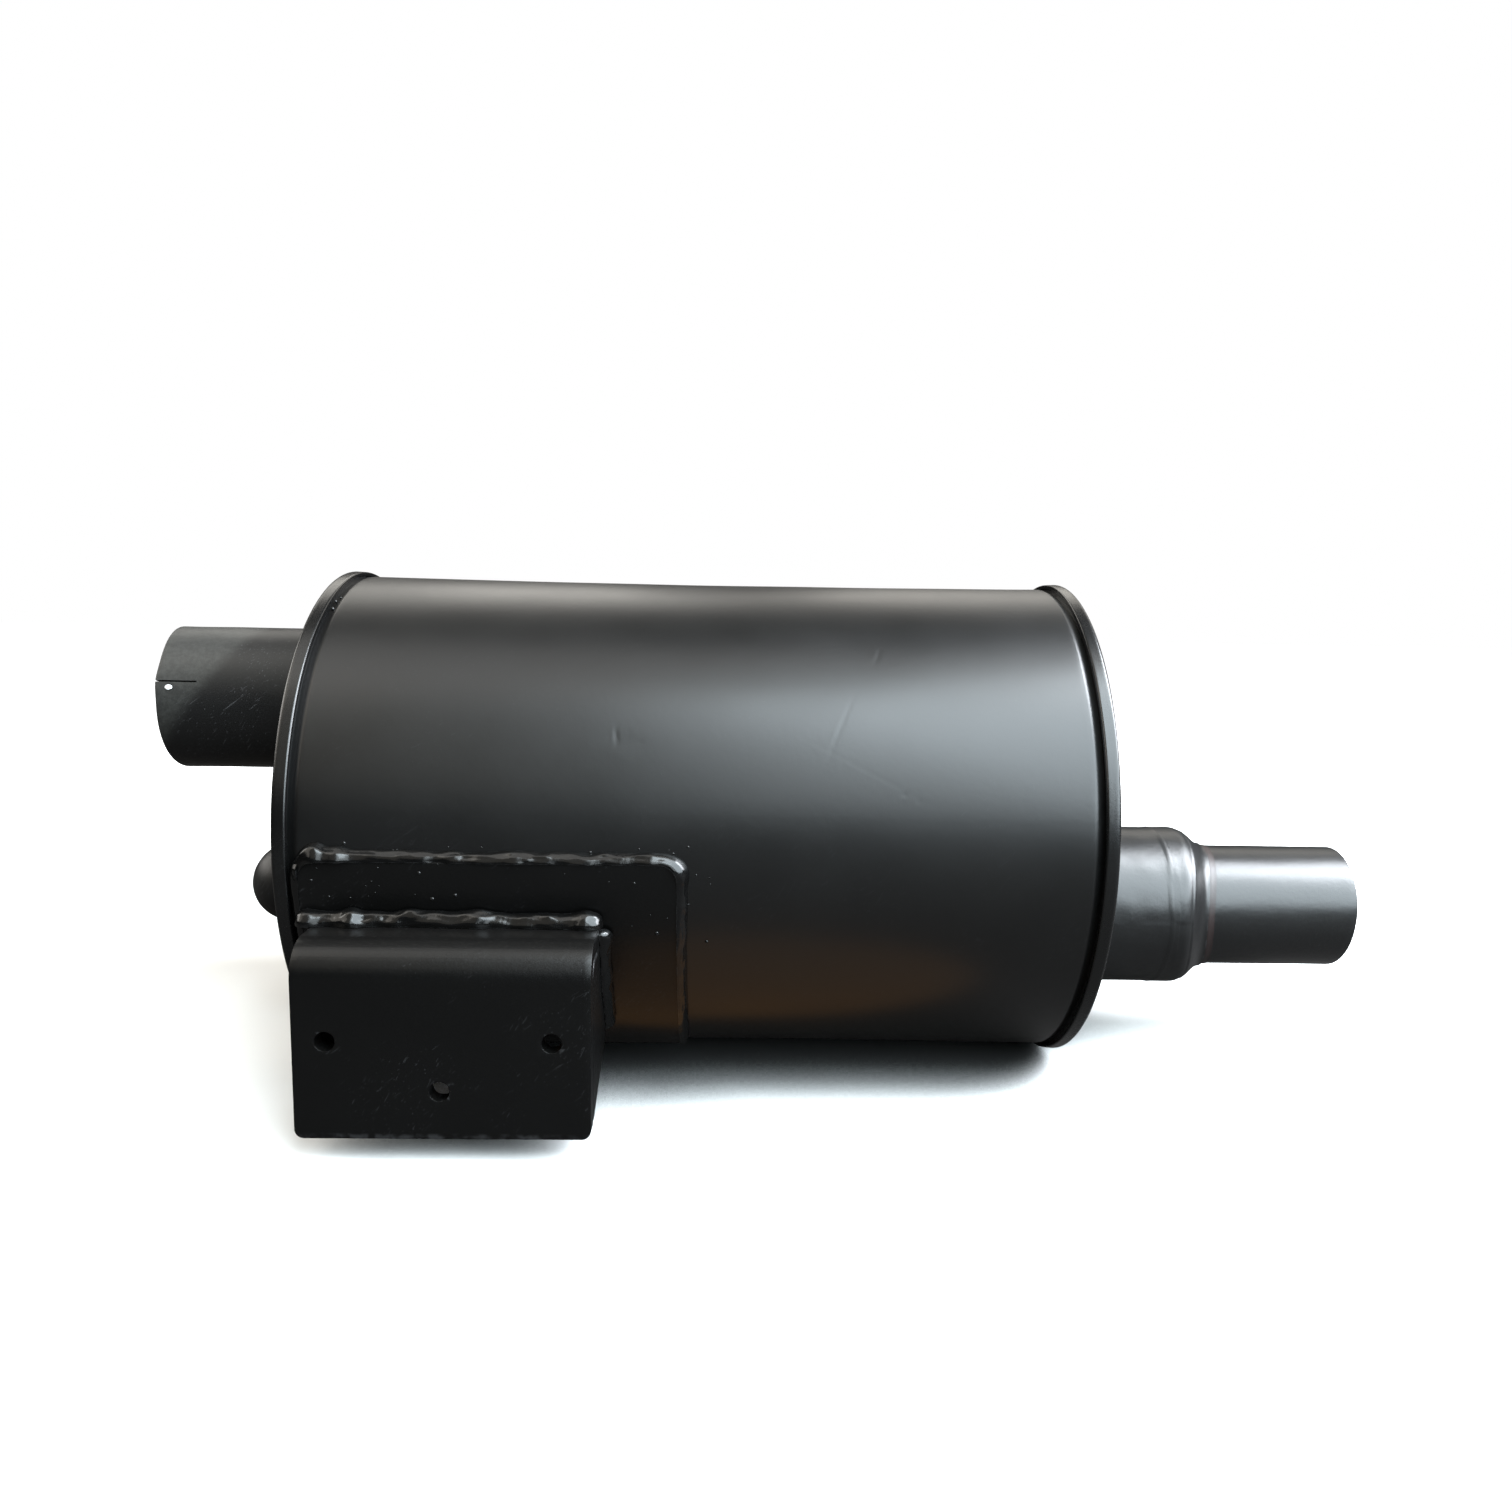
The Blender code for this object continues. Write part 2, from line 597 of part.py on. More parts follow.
def gusset_outline():
    """A gusset's outline (y, z), between the plate's two legs and the saddle."""
    front = FACE_Y + PLATE_THICKNESS + CLEARANCE
    under = FLANGE_Z - PLATE_THICKNESS - CLEARANCE
    steps = 5
    start = math.asin(-under / SADDLE_OUTSIDE)
    half_step = (GUSSET_END - start) / steps / 2
    stand = (SADDLE_OUTSIDE + CLEARANCE) / math.cos(half_step)
    foot = PLATE_BOTTOM_Z + PLATE_CORNER
    outline = [(front, foot), (front, FLANGE_Z - PLATE_BEND), (FACE_Y + PLATE_BEND, under)]
    outline.append((front_y(under, stand), under))
    for k in range(1, steps + 1):
        angle = start + (GUSSET_END - start) * k / steps
        outline.append((-stand * math.cos(angle), -stand * math.sin(angle)))
    return outline + [(front + GUSSET_FOOT, foot)]


def make_gussets(frame):
    finish = paint("gusset_paint", (0.032, 0.033, 0.034), 0.40)
    places = (
        ("gusset_inlet_side", PLATE_START),
        ("gusset_outlet_side", PLATE_END - GUSSET_THICKNESS),
    )
    for name, start in places:
        solid = extruded(gusset_outline(), start, start + GUSSET_THICKNESS)
        piece(name, solid, finish, frame)


# ---------------------------------------------------------------- welds


def ring_bead(corner_x, corner_radius, leg, towards):
    """A fillet bead round a pipe: the corner is at (x, radius), the bead rises towards -x or +x."""
    section = fillet_section(leg, leg)
    outline = [(corner_x + towards * (CLEARANCE + along), corner_radius + CLEARANCE + up)
               for along, up in section]
    return turned(outline, PIPE_STEPS)


def make_pipe_welds(frame):
    finish = paint("weld_paint", (0.045, 0.045, 0.047), 0.25)
    outlet_face = SHELL_LENGTH - CAP_FACE
    neck = SHELL_LENGTH + SLEEVE_REACH
    rings = (
        ("socket_weld", CAP_FACE, SOCKET_RADIUS, PIPE_BEAD, -1, SOCKET_Z),
        ("stub_weld", CAP_FACE, STUB_RADIUS, PIPE_BEAD, -1, STUB_Z),
        ("sleeve_weld", outlet_face, SLEEVE_RADIUS, PIPE_BEAD, 1, OUTLET_Z),
        ("spigot_weld", neck, SPIGOT_RADIUS, NECK_BEAD, 1, OUTLET_Z),
    )
    for name, corner_x, radius, leg, towards, height in rings:
        piece(name, ring_bead(corner_x, radius, leg, towards), finish, frame, (0.0, height))


def make_saddle_weld(frame):
    """The bead round the saddle's upper edge and down its two sides."""
    finish = paint("saddle_weld_paint", (0.050, 0.050, 0.052), 0.22)
    section = fillet_section(SADDLE_BEAD, SADDLE_THICKNESS)
    rings = []
    for x, angle, out_x, out_angle in saddle_edge(4):
        ring = []
        for along, up in section:
            away = CLEARANCE + along
            base = shell_radius(x + out_x * away) + CLEARANCE + up
            ring.append(on_body(x + out_x * away, angle + out_angle * away / base, base))
        rings.append(ring)
    piece("saddle_weld", swept(rings), finish, frame)


def make_bracket_welds(frame):
    """The bead along the top of the flange and one down the outer side of each gusset."""
    finish = paint("bracket_weld_paint", (0.050, 0.050, 0.052), 0.22)
    stand = SADDLE_OUTSIDE + CLEARANCE
    level = FLANGE_Z + CLEARANCE
    outline = []
    for along, up in fillet_section(FLANGE_BEAD, FLANGE_BEAD):
        outline.append((front_y(level + up, stand) - along, level + up))
    piece("flange_weld", extruded(outline, PLATE_START, PLATE_END), finish, frame)

    section = fillet_section(GUSSET_BEAD, GUSSET_BEAD)
    start = math.asin(-(FLANGE_Z - PLATE_THICKNESS / 2) / SADDLE_OUTSIDE)
    sides = (
        ("gusset_weld_inlet_side", PLATE_START, -1),
        ("gusset_weld_outlet_side", PLATE_END, 1),
    )
    for name, corner_x, towards in sides:
        rings = []
        for k in range(9):
            angle = start + (GUSSET_END - start) * k / 8
            rings.append([
                on_body(corner_x + towards * (CLEARANCE + along), angle, stand + up)
                for along, up in section
            ])
        piece(name, swept(rings), finish, frame)


def main():
    clear_scene()
    frame = body_frame()
    make_shell(frame)
    make_caps(frame)
    make_socket(frame)
    make_stub(frame)
    make_outlet(frame)
    make_tubes(frame)
    make_baffles(frame)
    make_saddle(frame)
    make_plate(frame)
    make_gussets(frame)
    make_pipe_welds(frame)
    make_saddle_weld(frame)
    make_bracket_welds(frame)


main()
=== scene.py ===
"""Finishes a welded exhaust muffler: painted sheet, pipes, bracket, weld beads and a plain studio.

Lengths are in metres. The muffler's axis runs along +X from the inlet to the outlet, +Z is up and
the bracket faces -Y. An angle on the body is measured about its axis, from the level of the axis
on the front (-Y) side, downwards.
"""

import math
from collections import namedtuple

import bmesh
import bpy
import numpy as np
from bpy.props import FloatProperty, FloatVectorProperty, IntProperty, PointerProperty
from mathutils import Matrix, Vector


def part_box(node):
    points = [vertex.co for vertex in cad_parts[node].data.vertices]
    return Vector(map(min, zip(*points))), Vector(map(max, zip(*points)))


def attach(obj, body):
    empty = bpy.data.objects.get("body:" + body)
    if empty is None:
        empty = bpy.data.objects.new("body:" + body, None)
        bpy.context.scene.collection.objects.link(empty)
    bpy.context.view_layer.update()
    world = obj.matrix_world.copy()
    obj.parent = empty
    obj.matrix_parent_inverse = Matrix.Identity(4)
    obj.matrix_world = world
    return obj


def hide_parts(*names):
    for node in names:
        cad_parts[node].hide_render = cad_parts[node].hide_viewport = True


bl_info = {
    "name": "Exhaust Muffler Finisher",
    "version": (1, 0, 0),
    "blender": (4, 5, 0),
    "location": "3D View > Sidebar > Muffler",
    "description": "Builds the painted sheet, pipes, bracket, weld beads and studio of a muffler",
    "category": "Add Mesh",
}

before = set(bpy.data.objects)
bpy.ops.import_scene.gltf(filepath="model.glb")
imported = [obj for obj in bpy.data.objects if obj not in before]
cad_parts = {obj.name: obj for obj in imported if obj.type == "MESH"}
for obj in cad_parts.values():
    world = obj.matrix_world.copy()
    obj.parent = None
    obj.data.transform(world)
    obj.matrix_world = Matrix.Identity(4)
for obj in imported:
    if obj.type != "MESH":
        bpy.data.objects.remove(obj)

BODY = "root"
CLEARANCE = 0.0003

Round = namedtuple("Round", "start end y z radius")


def round_place(node):
    """The span, axis and outer radius of a round node whose axis runs along X."""
    low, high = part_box(node)
    return Round(low.x, high.x, (low.y + high.y) / 2, (low.z + high.z) / 2, (high.z - low.z) / 2)


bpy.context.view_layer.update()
SHELL = round_place("shell")
INLET_CAP = round_place("inlet_end_cap")
OUTLET_CAP = round_place("outlet_end_cap")
SOCKET = round_place("inlet_socket")
STUB = round_place("closed_stub")
SLEEVE = round_place("outlet_sleeve")
SPIGOT = round_place("outlet_spigot")
SADDLE_LOW, SADDLE_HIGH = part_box("saddle_plate")
PLATE_LOW, PLATE_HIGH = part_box("mounting_plate")
BODY_START = INLET_CAP.start
BODY_END = OUTLET_CAP.end
CAP_RECESS = 0.0120
CAP_WALL = 0.0015
CAP_CROWN = 0.0014
RIM_WOBBLE = 0.00006
GROOVE_WIDTH = 0.0042
GROOVE_DEPTH = 0.0007
STUB_WALL = 0.0025


# ---------------------------------------------------------------- settings


class MufflerBodySettings(bpy.types.PropertyGroup):
    """Sizes and finish of the shell and its end caps."""

    shell_wall: FloatProperty(
        name="Shell wall", description="Thickness of the rolled sheet",
        default=0.0015, min=0.0005, max=0.004, unit="LENGTH", precision=4,
    )
    waist: FloatProperty(
        name="Waist", description="How far the sheet draws in half way along",
        default=0.0010, min=0.0, max=0.003, unit="LENGTH", precision=4,
    )
    seam_width: FloatProperty(
        name="Seam width", description="Width of the rolled seam seen from the side",
        default=0.0050, min=0.002, max=0.01, unit="LENGTH", precision=4,
    )
    dent_depth: FloatProperty(
        name="Dent depth", description="Depth of the deepest handling mark",
        default=0.00009, min=0.0, max=0.001, unit="LENGTH", precision=5,
    )
    paint: FloatVectorProperty(
        name="Body paint", description="Colour of the satin paint on the sheet",
        default=(0.0018, 0.0018, 0.0018), size=3, min=0.0, max=1.0, subtype="COLOR",
    )


class MufflerPipeSettings(bpy.types.PropertyGroup):
    """Sizes and finish of the pipes."""

    socket_wall: FloatProperty(
        name="Socket wall", description="Thickness of the inlet socket",
        default=0.0030, min=0.001, max=0.005, unit="LENGTH", precision=4,
    )
    spigot_wall: FloatProperty(
        name="Spigot wall", description="Thickness of the outlet spigot",
        default=0.0020, min=0.001, max=0.005, unit="LENGTH", precision=4,
    )
    sleeve_wall: FloatProperty(
        name="Sleeve wall", description="Thickness of the outlet sleeve",
        default=0.0025, min=0.001, max=0.005, unit="LENGTH", precision=4,
    )
    slot_length: FloatProperty(
        name="Slot length", description="Length of the saw cuts in the inlet socket",
        default=0.0160, min=0.0, max=0.03, unit="LENGTH", precision=4,
    )
    slot_width: FloatProperty(
        name="Slot width", description="Width of the saw cuts in the inlet socket",
        default=0.00065, min=0.0005, max=0.004, unit="LENGTH", precision=4,
    )
    paint: FloatVectorProperty(
        name="Pipe paint", description="Colour of the paint on the pipes",
        default=(0.0055, 0.0055, 0.0056), size=3, min=0.0, max=1.0, subtype="COLOR",
    )


class MufflerBracketSettings(bpy.types.PropertyGroup):
    """Sizes and finish of the saddle, mounting plate and gussets."""

    plate_thickness: FloatProperty(
        name="Plate thickness", description="Thickness of the bent mounting plate",
        default=0.0060, min=0.002, max=0.012, unit="LENGTH", precision=4,
    )
    bend_radius: FloatProperty(
        name="Bend radius", description="Outer radius of the plate's bend",
        default=0.0120, min=0.006, max=0.02, unit="LENGTH", precision=4,
    )
    saddle_thickness: FloatProperty(
        name="Saddle thickness", description="Thickness of the plate rolled onto the shell",
        default=0.0030, min=0.001, max=0.006, unit="LENGTH", precision=4,
    )
    hole_diameter: FloatProperty(
        name="Bolt hole", description="Diameter of the bolt holes",
        default=0.0067, min=0.003, max=0.012, unit="LENGTH", precision=4,
    )
    hole_spacing: FloatProperty(
        name="Hole spacing", description="Distance between the upper two bolt holes",
        default=0.0730, min=0.02, max=0.2, unit="LENGTH", precision=4,
    )
    lower_hole_drop: FloatProperty(
        name="Lower hole drop", description="How far the third hole is below the other two",
        default=0.0167, min=0.0, max=0.05, unit="LENGTH", precision=4,
    )
    edge_round: FloatProperty(
        name="Edge round", description="Width of the worn edge on cut plate",
        default=0.0007, min=0.0002, max=0.002, unit="LENGTH", precision=4,
    )
    paint: FloatVectorProperty(
        name="Bracket paint", description="Colour of the paint on the cut plate",
        default=(0.0011, 0.0011, 0.0011), size=3, min=0.0, max=1.0, subtype="COLOR",
    )


class MufflerWeldSettings(bpy.types.PropertyGroup):
    """Sizes and finish of the weld beads."""

    saddle_leg: FloatProperty(
        name="Saddle bead", description="Leg of the bead round the saddle",
        default=0.0036, min=0.001, max=0.01, unit="LENGTH", precision=4,
    )
    flange_leg: FloatProperty(
        name="Flange bead", description="Leg of the bead along the flange",
        default=0.0048, min=0.001, max=0.012, unit="LENGTH", precision=4,
    )
    gusset_leg: FloatProperty(
        name="Gusset bead", description="Leg of the bead down each gusset",
        default=0.0034, min=0.001, max=0.01, unit="LENGTH", precision=4,
    )
    pipe_leg: FloatProperty(
        name="Pipe bead", description="Leg of the beads round the pipes",
        default=0.0050, min=0.001, max=0.01, unit="LENGTH", precision=4,
    )
    ripple_pitch: FloatProperty(
        name="Ripple pitch", description="Distance from one ripple to the next",
        default=0.0021, min=0.0005, max=0.006, unit="LENGTH", precision=4,
    )
    spatter_count: IntProperty(
        name="Spatter", description="Number of spatter drops near the beads",
        default=70, min=0, max=400,
    )
    paint: FloatVectorProperty(
        name="Weld paint", description="Colour of the paint that pools on the beads",
        default=(0.0020, 0.0020, 0.0020), size=3, min=0.0, max=1.0, subtype="COLOR",
    )


class MufflerStageSettings(bpy.types.PropertyGroup):
    """The floor, the lights and the camera."""

    floor: FloatVectorProperty(
        name="Floor", description="Colour of the plain floor",
        default=(0.86, 0.86, 0.85), size=3, min=0.0, max=1.0, subtype="COLOR",
    )
    brightness: FloatProperty(
        name="Brightness", description="Scales every light at once",
        default=1.0, min=0.0, max=10.0,
    )
    lens: FloatProperty(
        name="Lens", description="Focal length in millimetres on a 36 mm sensor",
        default=26.9, min=10.0, max=200.0,
    )


# ---------------------------------------------------------------- geometry helpers


def settings(name):
    return getattr(bpy.context.scene, name)


def waves(seed, count, shortest, longest):
    """A smooth random height from -1 to 1 over two lengths, the same on every run."""
    random = np.random.RandomState(seed)
    sizes = np.exp(random.uniform(math.log(shortest), math.log(longest), count))
    directions = random.uniform(0, 2 * math.pi, count)
    phases = random.uniform(0, 2 * math.pi, count)
    weights = sizes / sizes.sum()

    def height(u, v):
        total = 0.0
        for size, direction, phase, weight in zip(sizes, directions, phases, weights):
            along = u * math.cos(direction) + v * math.sin(direction)
            total = total + weight * np.sin(2 * math.pi * along / size + phase)
        return total * 1.6

    return height


def arc(centre_x, centre_r, radius, start, end, count):
    """Points (x, r) on a round corner, from angle start to end in degrees, 0 towards +x."""
    angles = np.radians(np.linspace(start, end, count + 1))
    return [(centre_x + radius * math.cos(a), centre_r + radius * math.sin(a)) for a in angles]


def run(start, end, count, inner_only=True):
    """Points evenly along a straight stretch between two (x, r) points."""
    shares = np.linspace(0, 1, count + 1)
    if inner_only:
        shares = shares[1:-1]
    (x0, r0), (x1, r1) = start, end
    return [(x0 + (x1 - x0) * s, r0 + (r1 - r0) * s) for s in shares]


def stations(start, end, spacing, fine_spans, fine_spacing):
    """Positions from start to end, closer together within the fine spans."""
    made = [start]
    while made[-1] < end:
        near = any(low - spacing < made[-1] < high for low, high in fine_spans)
        made.append(made[-1] + (fine_spacing if near else spacing))
    reached = made[-1] - start
    return np.array(made) * (end - start) / reached + start * (1 - (end - start) / reached)


def object_from(name, tool, material=None):
    """An object made of what a bmesh holds. The bmesh is freed."""
    mesh = bpy.data.meshes.new(name)
    tool.to_mesh(mesh)
    tool.free()
    if material:
        mesh.materials.append(material)
    obj = bpy.data.objects.new(name, mesh)
    bpy.context.scene.collection.objects.link(obj)
    return obj


def add_piece(name, points, faces, material, smooth_angle=40.0):
    """An object from points and faces, with its faces turned outwards."""
    mesh = bpy.data.meshes.new(name)
    mesh.from_pydata([tuple(p) for p in points], [], [tuple(f) for f in faces])
    tool = bmesh.new()
    tool.from_mesh(mesh)
    bmesh.ops.remove_doubles(tool, verts=tool.verts, dist=1e-7)
    bmesh.ops.recalc_face_normals(tool, faces=tool.faces)
    tool.to_mesh(mesh)
    tool.free()
    mesh.shade_smooth()
    mesh.set_sharp_from_angle(angle=math.radians(smooth_angle))
    obj = bpy.data.objects.new(name, mesh)
    bpy.context.scene.collection.objects.link(obj)
    mesh.materials.append(material)
    return obj


def grid_faces(rows, columns, close_rows, close_columns):
    """Quads over a grid of points stored row by row."""
    down = np.arange(rows if close_rows else rows - 1)
    across = np.arange(columns if close_columns else columns - 1)
    i, j = np.meshgrid(down, across, indexing="ij")
    after_i, after_j = (i + 1) % rows, (j + 1) % columns
    corners = (
        i * columns + j, i * columns + after_j,
        after_i * columns + after_j, after_i * columns + j,
    )
    return np.stack(corners, axis=-1).reshape(-1, 4).tolist()


def even_angles(steps):
    return np.linspace(0, 2 * math.pi, steps, endpoint=False)


def turned(name, outline, angles, place, material, shape=None):
    """Turns a closed outline of (x, radius) about a place's axis. shape may move the points."""
    x, radius = (np.array(column)[:, None] for column in zip(*outline))
    angle = np.asarray(angles)[None, :]
    steps = len(angles)
    x, radius, angle = np.broadcast_arrays(x, radius, angle)
    if shape:
        x, radius = shape(x, radius, angle)
    points = np.stack(
        (x, place.y - radius * np.cos(angle), place.z - radius * np.sin(angle)), axis=-1
    ).reshape(-1, 3)
    return add_piece(name, points, grid_faces(len(outline), steps, True, True), material)


def lofted(name, rings, material, smooth_angle=40.0):
    """A closed solid through equal rings of points, with flat ends."""
    rings = np.asarray(rings)
    count, width = rings.shape[:2]
    faces = grid_faces(count, width, False, True)
    faces.append(list(range(width)))
    faces.append(list(range((count - 1) * width, count * width)))
    return add_piece(name, rings.reshape(-1, 3), faces, material, smooth_angle)


def on_body(x, angle, radius):
    """Points on the front of the body."""
    x, angle, radius = np.broadcast_arrays(x, angle, radius)
    y, z = SHELL.y - radius * np.cos(angle), SHELL.z - radius * np.sin(angle)
    return np.stack((x, y, z), axis=-1)


def outward_at(angle):
    """Directions straight out from an axis along X, with angles measured as on the body."""
    return np.stack((np.zeros_like(angle), -np.cos(angle), -np.sin(angle)), axis=-1)


def facing_front(angle):
    """From 1 at the front of a pipe to 0 at its top and bottom and behind."""
    return np.clip(np.cos(angle), 0, 1) ** 2


def bake_modifiers(obj):
    """Replaces an object's mesh by what its modifiers make of it."""
    graph = bpy.context.evaluated_depsgraph_get()
    made = bpy.data.meshes.new_from_object(obj.evaluated_get(graph))
    obj.modifiers.clear()
    obj.data = made


def cut_round(obj, centre, axis, radius, length, steps=96):
    """Drills a round hole along X or Y through an object."""
    turn = Matrix.Rotation(math.pi / 2, 4, "Y" if axis == "X" else "X")
    tool = bmesh.new()
    bmesh.ops.create_cone(
        tool, cap_ends=True, segments=steps, radius1=radius, radius2=radius, depth=length,
        matrix=Matrix.Translation(centre) @ turn,
    )
    subtract(obj, tool)


def subtract(obj, tool):
    """Cuts what a bmesh holds out of an object."""
    cutter = object_from("cutter", tool)
    mesh = cutter.data
    modifier = obj.modifiers.new("cut", "BOOLEAN")
    modifier.operation = "DIFFERENCE"
    modifier.solver = "EXACT"
    modifier.object = cutter
    bake_modifiers(obj)
    bpy.data.objects.remove(cutter)
    bpy.data.meshes.remove(mesh)


def round_edges(obj, width, angle):
    """Rolls off the sharp edges of an object."""
    modifier = obj.modifiers.new("edge", "BEVEL")
    modifier.width = width
    modifier.segments = 3
    modifier.limit_method = "ANGLE"
    modifier.angle_limit = math.radians(angle)
    modifier.harden_normals = False
    bake_modifiers(obj)
    obj.data.shade_smooth()
    obj.data.set_sharp_from_angle(angle=math.radians(35))


def blacken_bore(obj, place, radius):
    """Gives the faces inside a radius about a pipe's axis a dull black: soot, and painted shade
    that keeps the bore dark.
    """
    obj.data.materials.append(soot())
    for face in obj.data.polygons:
        if math.hypot(face.center.y - place.y, face.center.z - place.z) < radius:
            face.material_index = 1


def cut_grid(obj, spacing):
    """Divides an object's large faces, so that edge wear stays beside the edges."""
    tool = bmesh.new()
    tool.from_mesh(obj.data)
    low = Vector([min(vert.co[axis] for vert in tool.verts) for axis in range(3)])
    high = Vector([max(vert.co[axis] for vert in tool.verts) for axis in range(3)])
    for axis in range(3):
        normal = Vector([float(axis == other) for other in range(3)])
        count = int((high[axis] - low[axis]) / spacing)
        for step in range(1, count):
            place = low + normal * (high[axis] - low[axis]) * (step + 0.013) / count
            everything = [*tool.verts, *tool.edges, *tool.faces]
            bmesh.ops.bisect_plane(tool, geom=everything, plane_co=place, plane_no=normal)
    tool.to_mesh(obj.data)
    tool.free()


def settle(obj, slot, *nodes):
    """Puts a finished piece on the body in place of the plain nodes it stands for, if any."""
    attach(obj, BODY)
    if nodes:
        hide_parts(*nodes)


def shell_radius(x):
    """Outer radius of the shell, which draws in a little between its seams."""
    along = (2 * x - BODY_START - BODY_END) / (BODY_END - BODY_START)
    return SHELL.radius - settings("muffler_body").waist * np.clip(1 - along * along, 0, 1)


# ---------------------------------------------------------------- shader node groups


def new_group(name, inputs, outputs):
    """A shader node group with sockets given as (name, kind, default)."""
    tree = bpy.data.node_groups.new(name, "ShaderNodeTree")
    for label, kind, default in inputs:
        socket = tree.interface.new_socket(name=label, in_out="INPUT", socket_type=kind)
        socket.default_value = default
    for label, kind in outputs:
        tree.interface.new_socket(name=label, in_out="OUTPUT", socket_type=kind)
    return tree, tree.nodes.new("NodeGroupInput"), tree.nodes.new("NodeGroupOutput")


def feed(tree, socket, value):
    """Links another node's output to a socket, or sets the socket to a plain value."""
    if isinstance(value, bpy.types.NodeSocket):
        tree.links.new(value, socket)
    else:
        socket.default_value = value


def feed_inputs(tree, node, inputs):
    for label, value in inputs.items():
        feed(tree, node.inputs[label.replace("_", " ")], value)
    return node


def add_node(tree, kind, **inputs):
    """A node with some of its inputs set to values or linked to other sockets."""
    return feed_inputs(tree, tree.nodes.new(kind), inputs)


def object_place(tree):
    """A socket with each point's place in the object's own coordinates."""
    return tree.nodes.new("ShaderNodeTexCoord").outputs["Object"]


def calc(tree, operation, first, second=0.0, third=None):
    """The result socket of a Math node."""
    node = tree.nodes.new("ShaderNodeMath")
    node.operation = operation
    for socket, value in zip(node.inputs, (first, second, third)):
        if value is not None:
            feed(tree, socket, value)
    return node.outputs[0]


def ramp(tree, value, low, high, to_low=0.0, to_high=1.0):
    """A value taken smoothly from one range to another."""
    node = tree.nodes.new("ShaderNodeMapRange")
    node.interpolation_type = "SMOOTHSTEP"
    tree.links.new(value, node.inputs["Value"])
    ends = (("From Min", low), ("From Max", high), ("To Min", to_low), ("To Max", to_high))
    for label, number in ends:
        feed(tree, node.inputs[label], number)
    return node.outputs["Result"]


MIX_FACTOR, MIX_FIRST, MIX_SECOND, MIX_COLOUR_RESULT = 0, 6, 7, 2


def mix_colour(tree, factor, first, second):
    """The result socket of a colour mix between two colours or colour sockets."""
    node = tree.nodes.new("ShaderNodeMix")
    node.data_type = "RGBA"
    for index, value in zip((MIX_FACTOR, MIX_FIRST, MIX_SECOND), (factor, first, second)):
        if not isinstance(value, (bpy.types.NodeSocket, float)):
            value = (*value[:3], 1.0)
        feed(tree, node.inputs[index], value)
    return node.outputs[MIX_COLOUR_RESULT]


def noise_at(tree, place, scale, detail=3.0, roughness=0.55):
    node = add_node(
        tree, "ShaderNodeTexNoise",
        Vector=place, Scale=scale, Detail=detail, Roughness=roughness,
    )
    return node.outputs["Fac"]


def paint_film_group():
    """Sprayed paint: a slow orange-peel swell, a fine grain and an uneven gloss."""
    tree, given, result = new_group(
        "Paint Film",
        (
            ("Colour", "NodeSocketColor", (0.02, 0.02, 0.02, 1)),
            ("Roughness", "NodeSocketFloat", 0.4),
            ("Roughness Spread", "NodeSocketFloat", 0.08),
            ("Tone Spread", "NodeSocketFloat", 0.3),
            ("Peel", "NodeSocketFloat", 0.5),
            ("Grain", "NodeSocketFloat", 0.2),
        ),
        (
            ("Colour", "NodeSocketColor"),
            ("Roughness", "NodeSocketFloat"),
            ("Height", "NodeSocketFloat"),
        ),
    )
    place = object_place(tree)
    cloud = noise_at(tree, place, 28.0, 4.0)
    peel = noise_at(tree, place, 420.0, 2.0)
    grain = noise_at(tree, place, 2600.0, 2.0)
    uneven = calc(tree, "SUBTRACT", cloud, 0.5)
    tone = calc(tree, "MULTIPLY_ADD", uneven, given.outputs["Tone Spread"], 1.0)
    scaled = tree.nodes.new("ShaderNodeVectorMath")
    scaled.operation = "SCALE"
    tree.links.new(given.outputs["Colour"], scaled.inputs[0])
    tree.links.new(tone, scaled.inputs["Scale"])
    tree.links.new(scaled.outputs[0], result.inputs["Colour"])
    gloss = calc(tree, "SUBTRACT", calc(tree, "MULTIPLY_ADD", grain, 0.4, cloud), 0.7)
    spread, middle = given.outputs["Roughness Spread"], given.outputs["Roughness"]
    rough = calc(tree, "MULTIPLY_ADD", gloss, spread, middle)
    tree.links.new(rough, result.inputs["Roughness"])
    swell = calc(tree, "MULTIPLY", peel, given.outputs["Peel"])
    height = calc(tree, "MULTIPLY_ADD", grain, given.outputs["Grain"], swell)
    tree.links.new(height, result.inputs["Height"])
    return tree


def edge_wear_group():
    """A mask of rubbed, lighter edges, broken up by noise."""
    tree, given, result = new_group(
        "Edge Wear",
        (("Amount", "NodeSocketFloat", 0.5), ("Start", "NodeSocketFloat", 0.53)),
        (("Mask", "NodeSocketFloat"),),
    )
    place = object_place(tree)
    edge = tree.nodes.new("ShaderNodeNewGeometry").outputs["Pointiness"]
    top = calc(tree, "ADD", given.outputs["Start"], 0.06)
    sharp = ramp(tree, edge, given.outputs["Start"], top)
    broken = ramp(tree, noise_at(tree, place, 260.0, 4.0), 0.42, 0.62)
    mask = calc(tree, "MULTIPLY", calc(tree, "MULTIPLY", sharp, broken), given.outputs["Amount"])
    tree.links.new(mask, result.inputs["Mask"])
    return tree


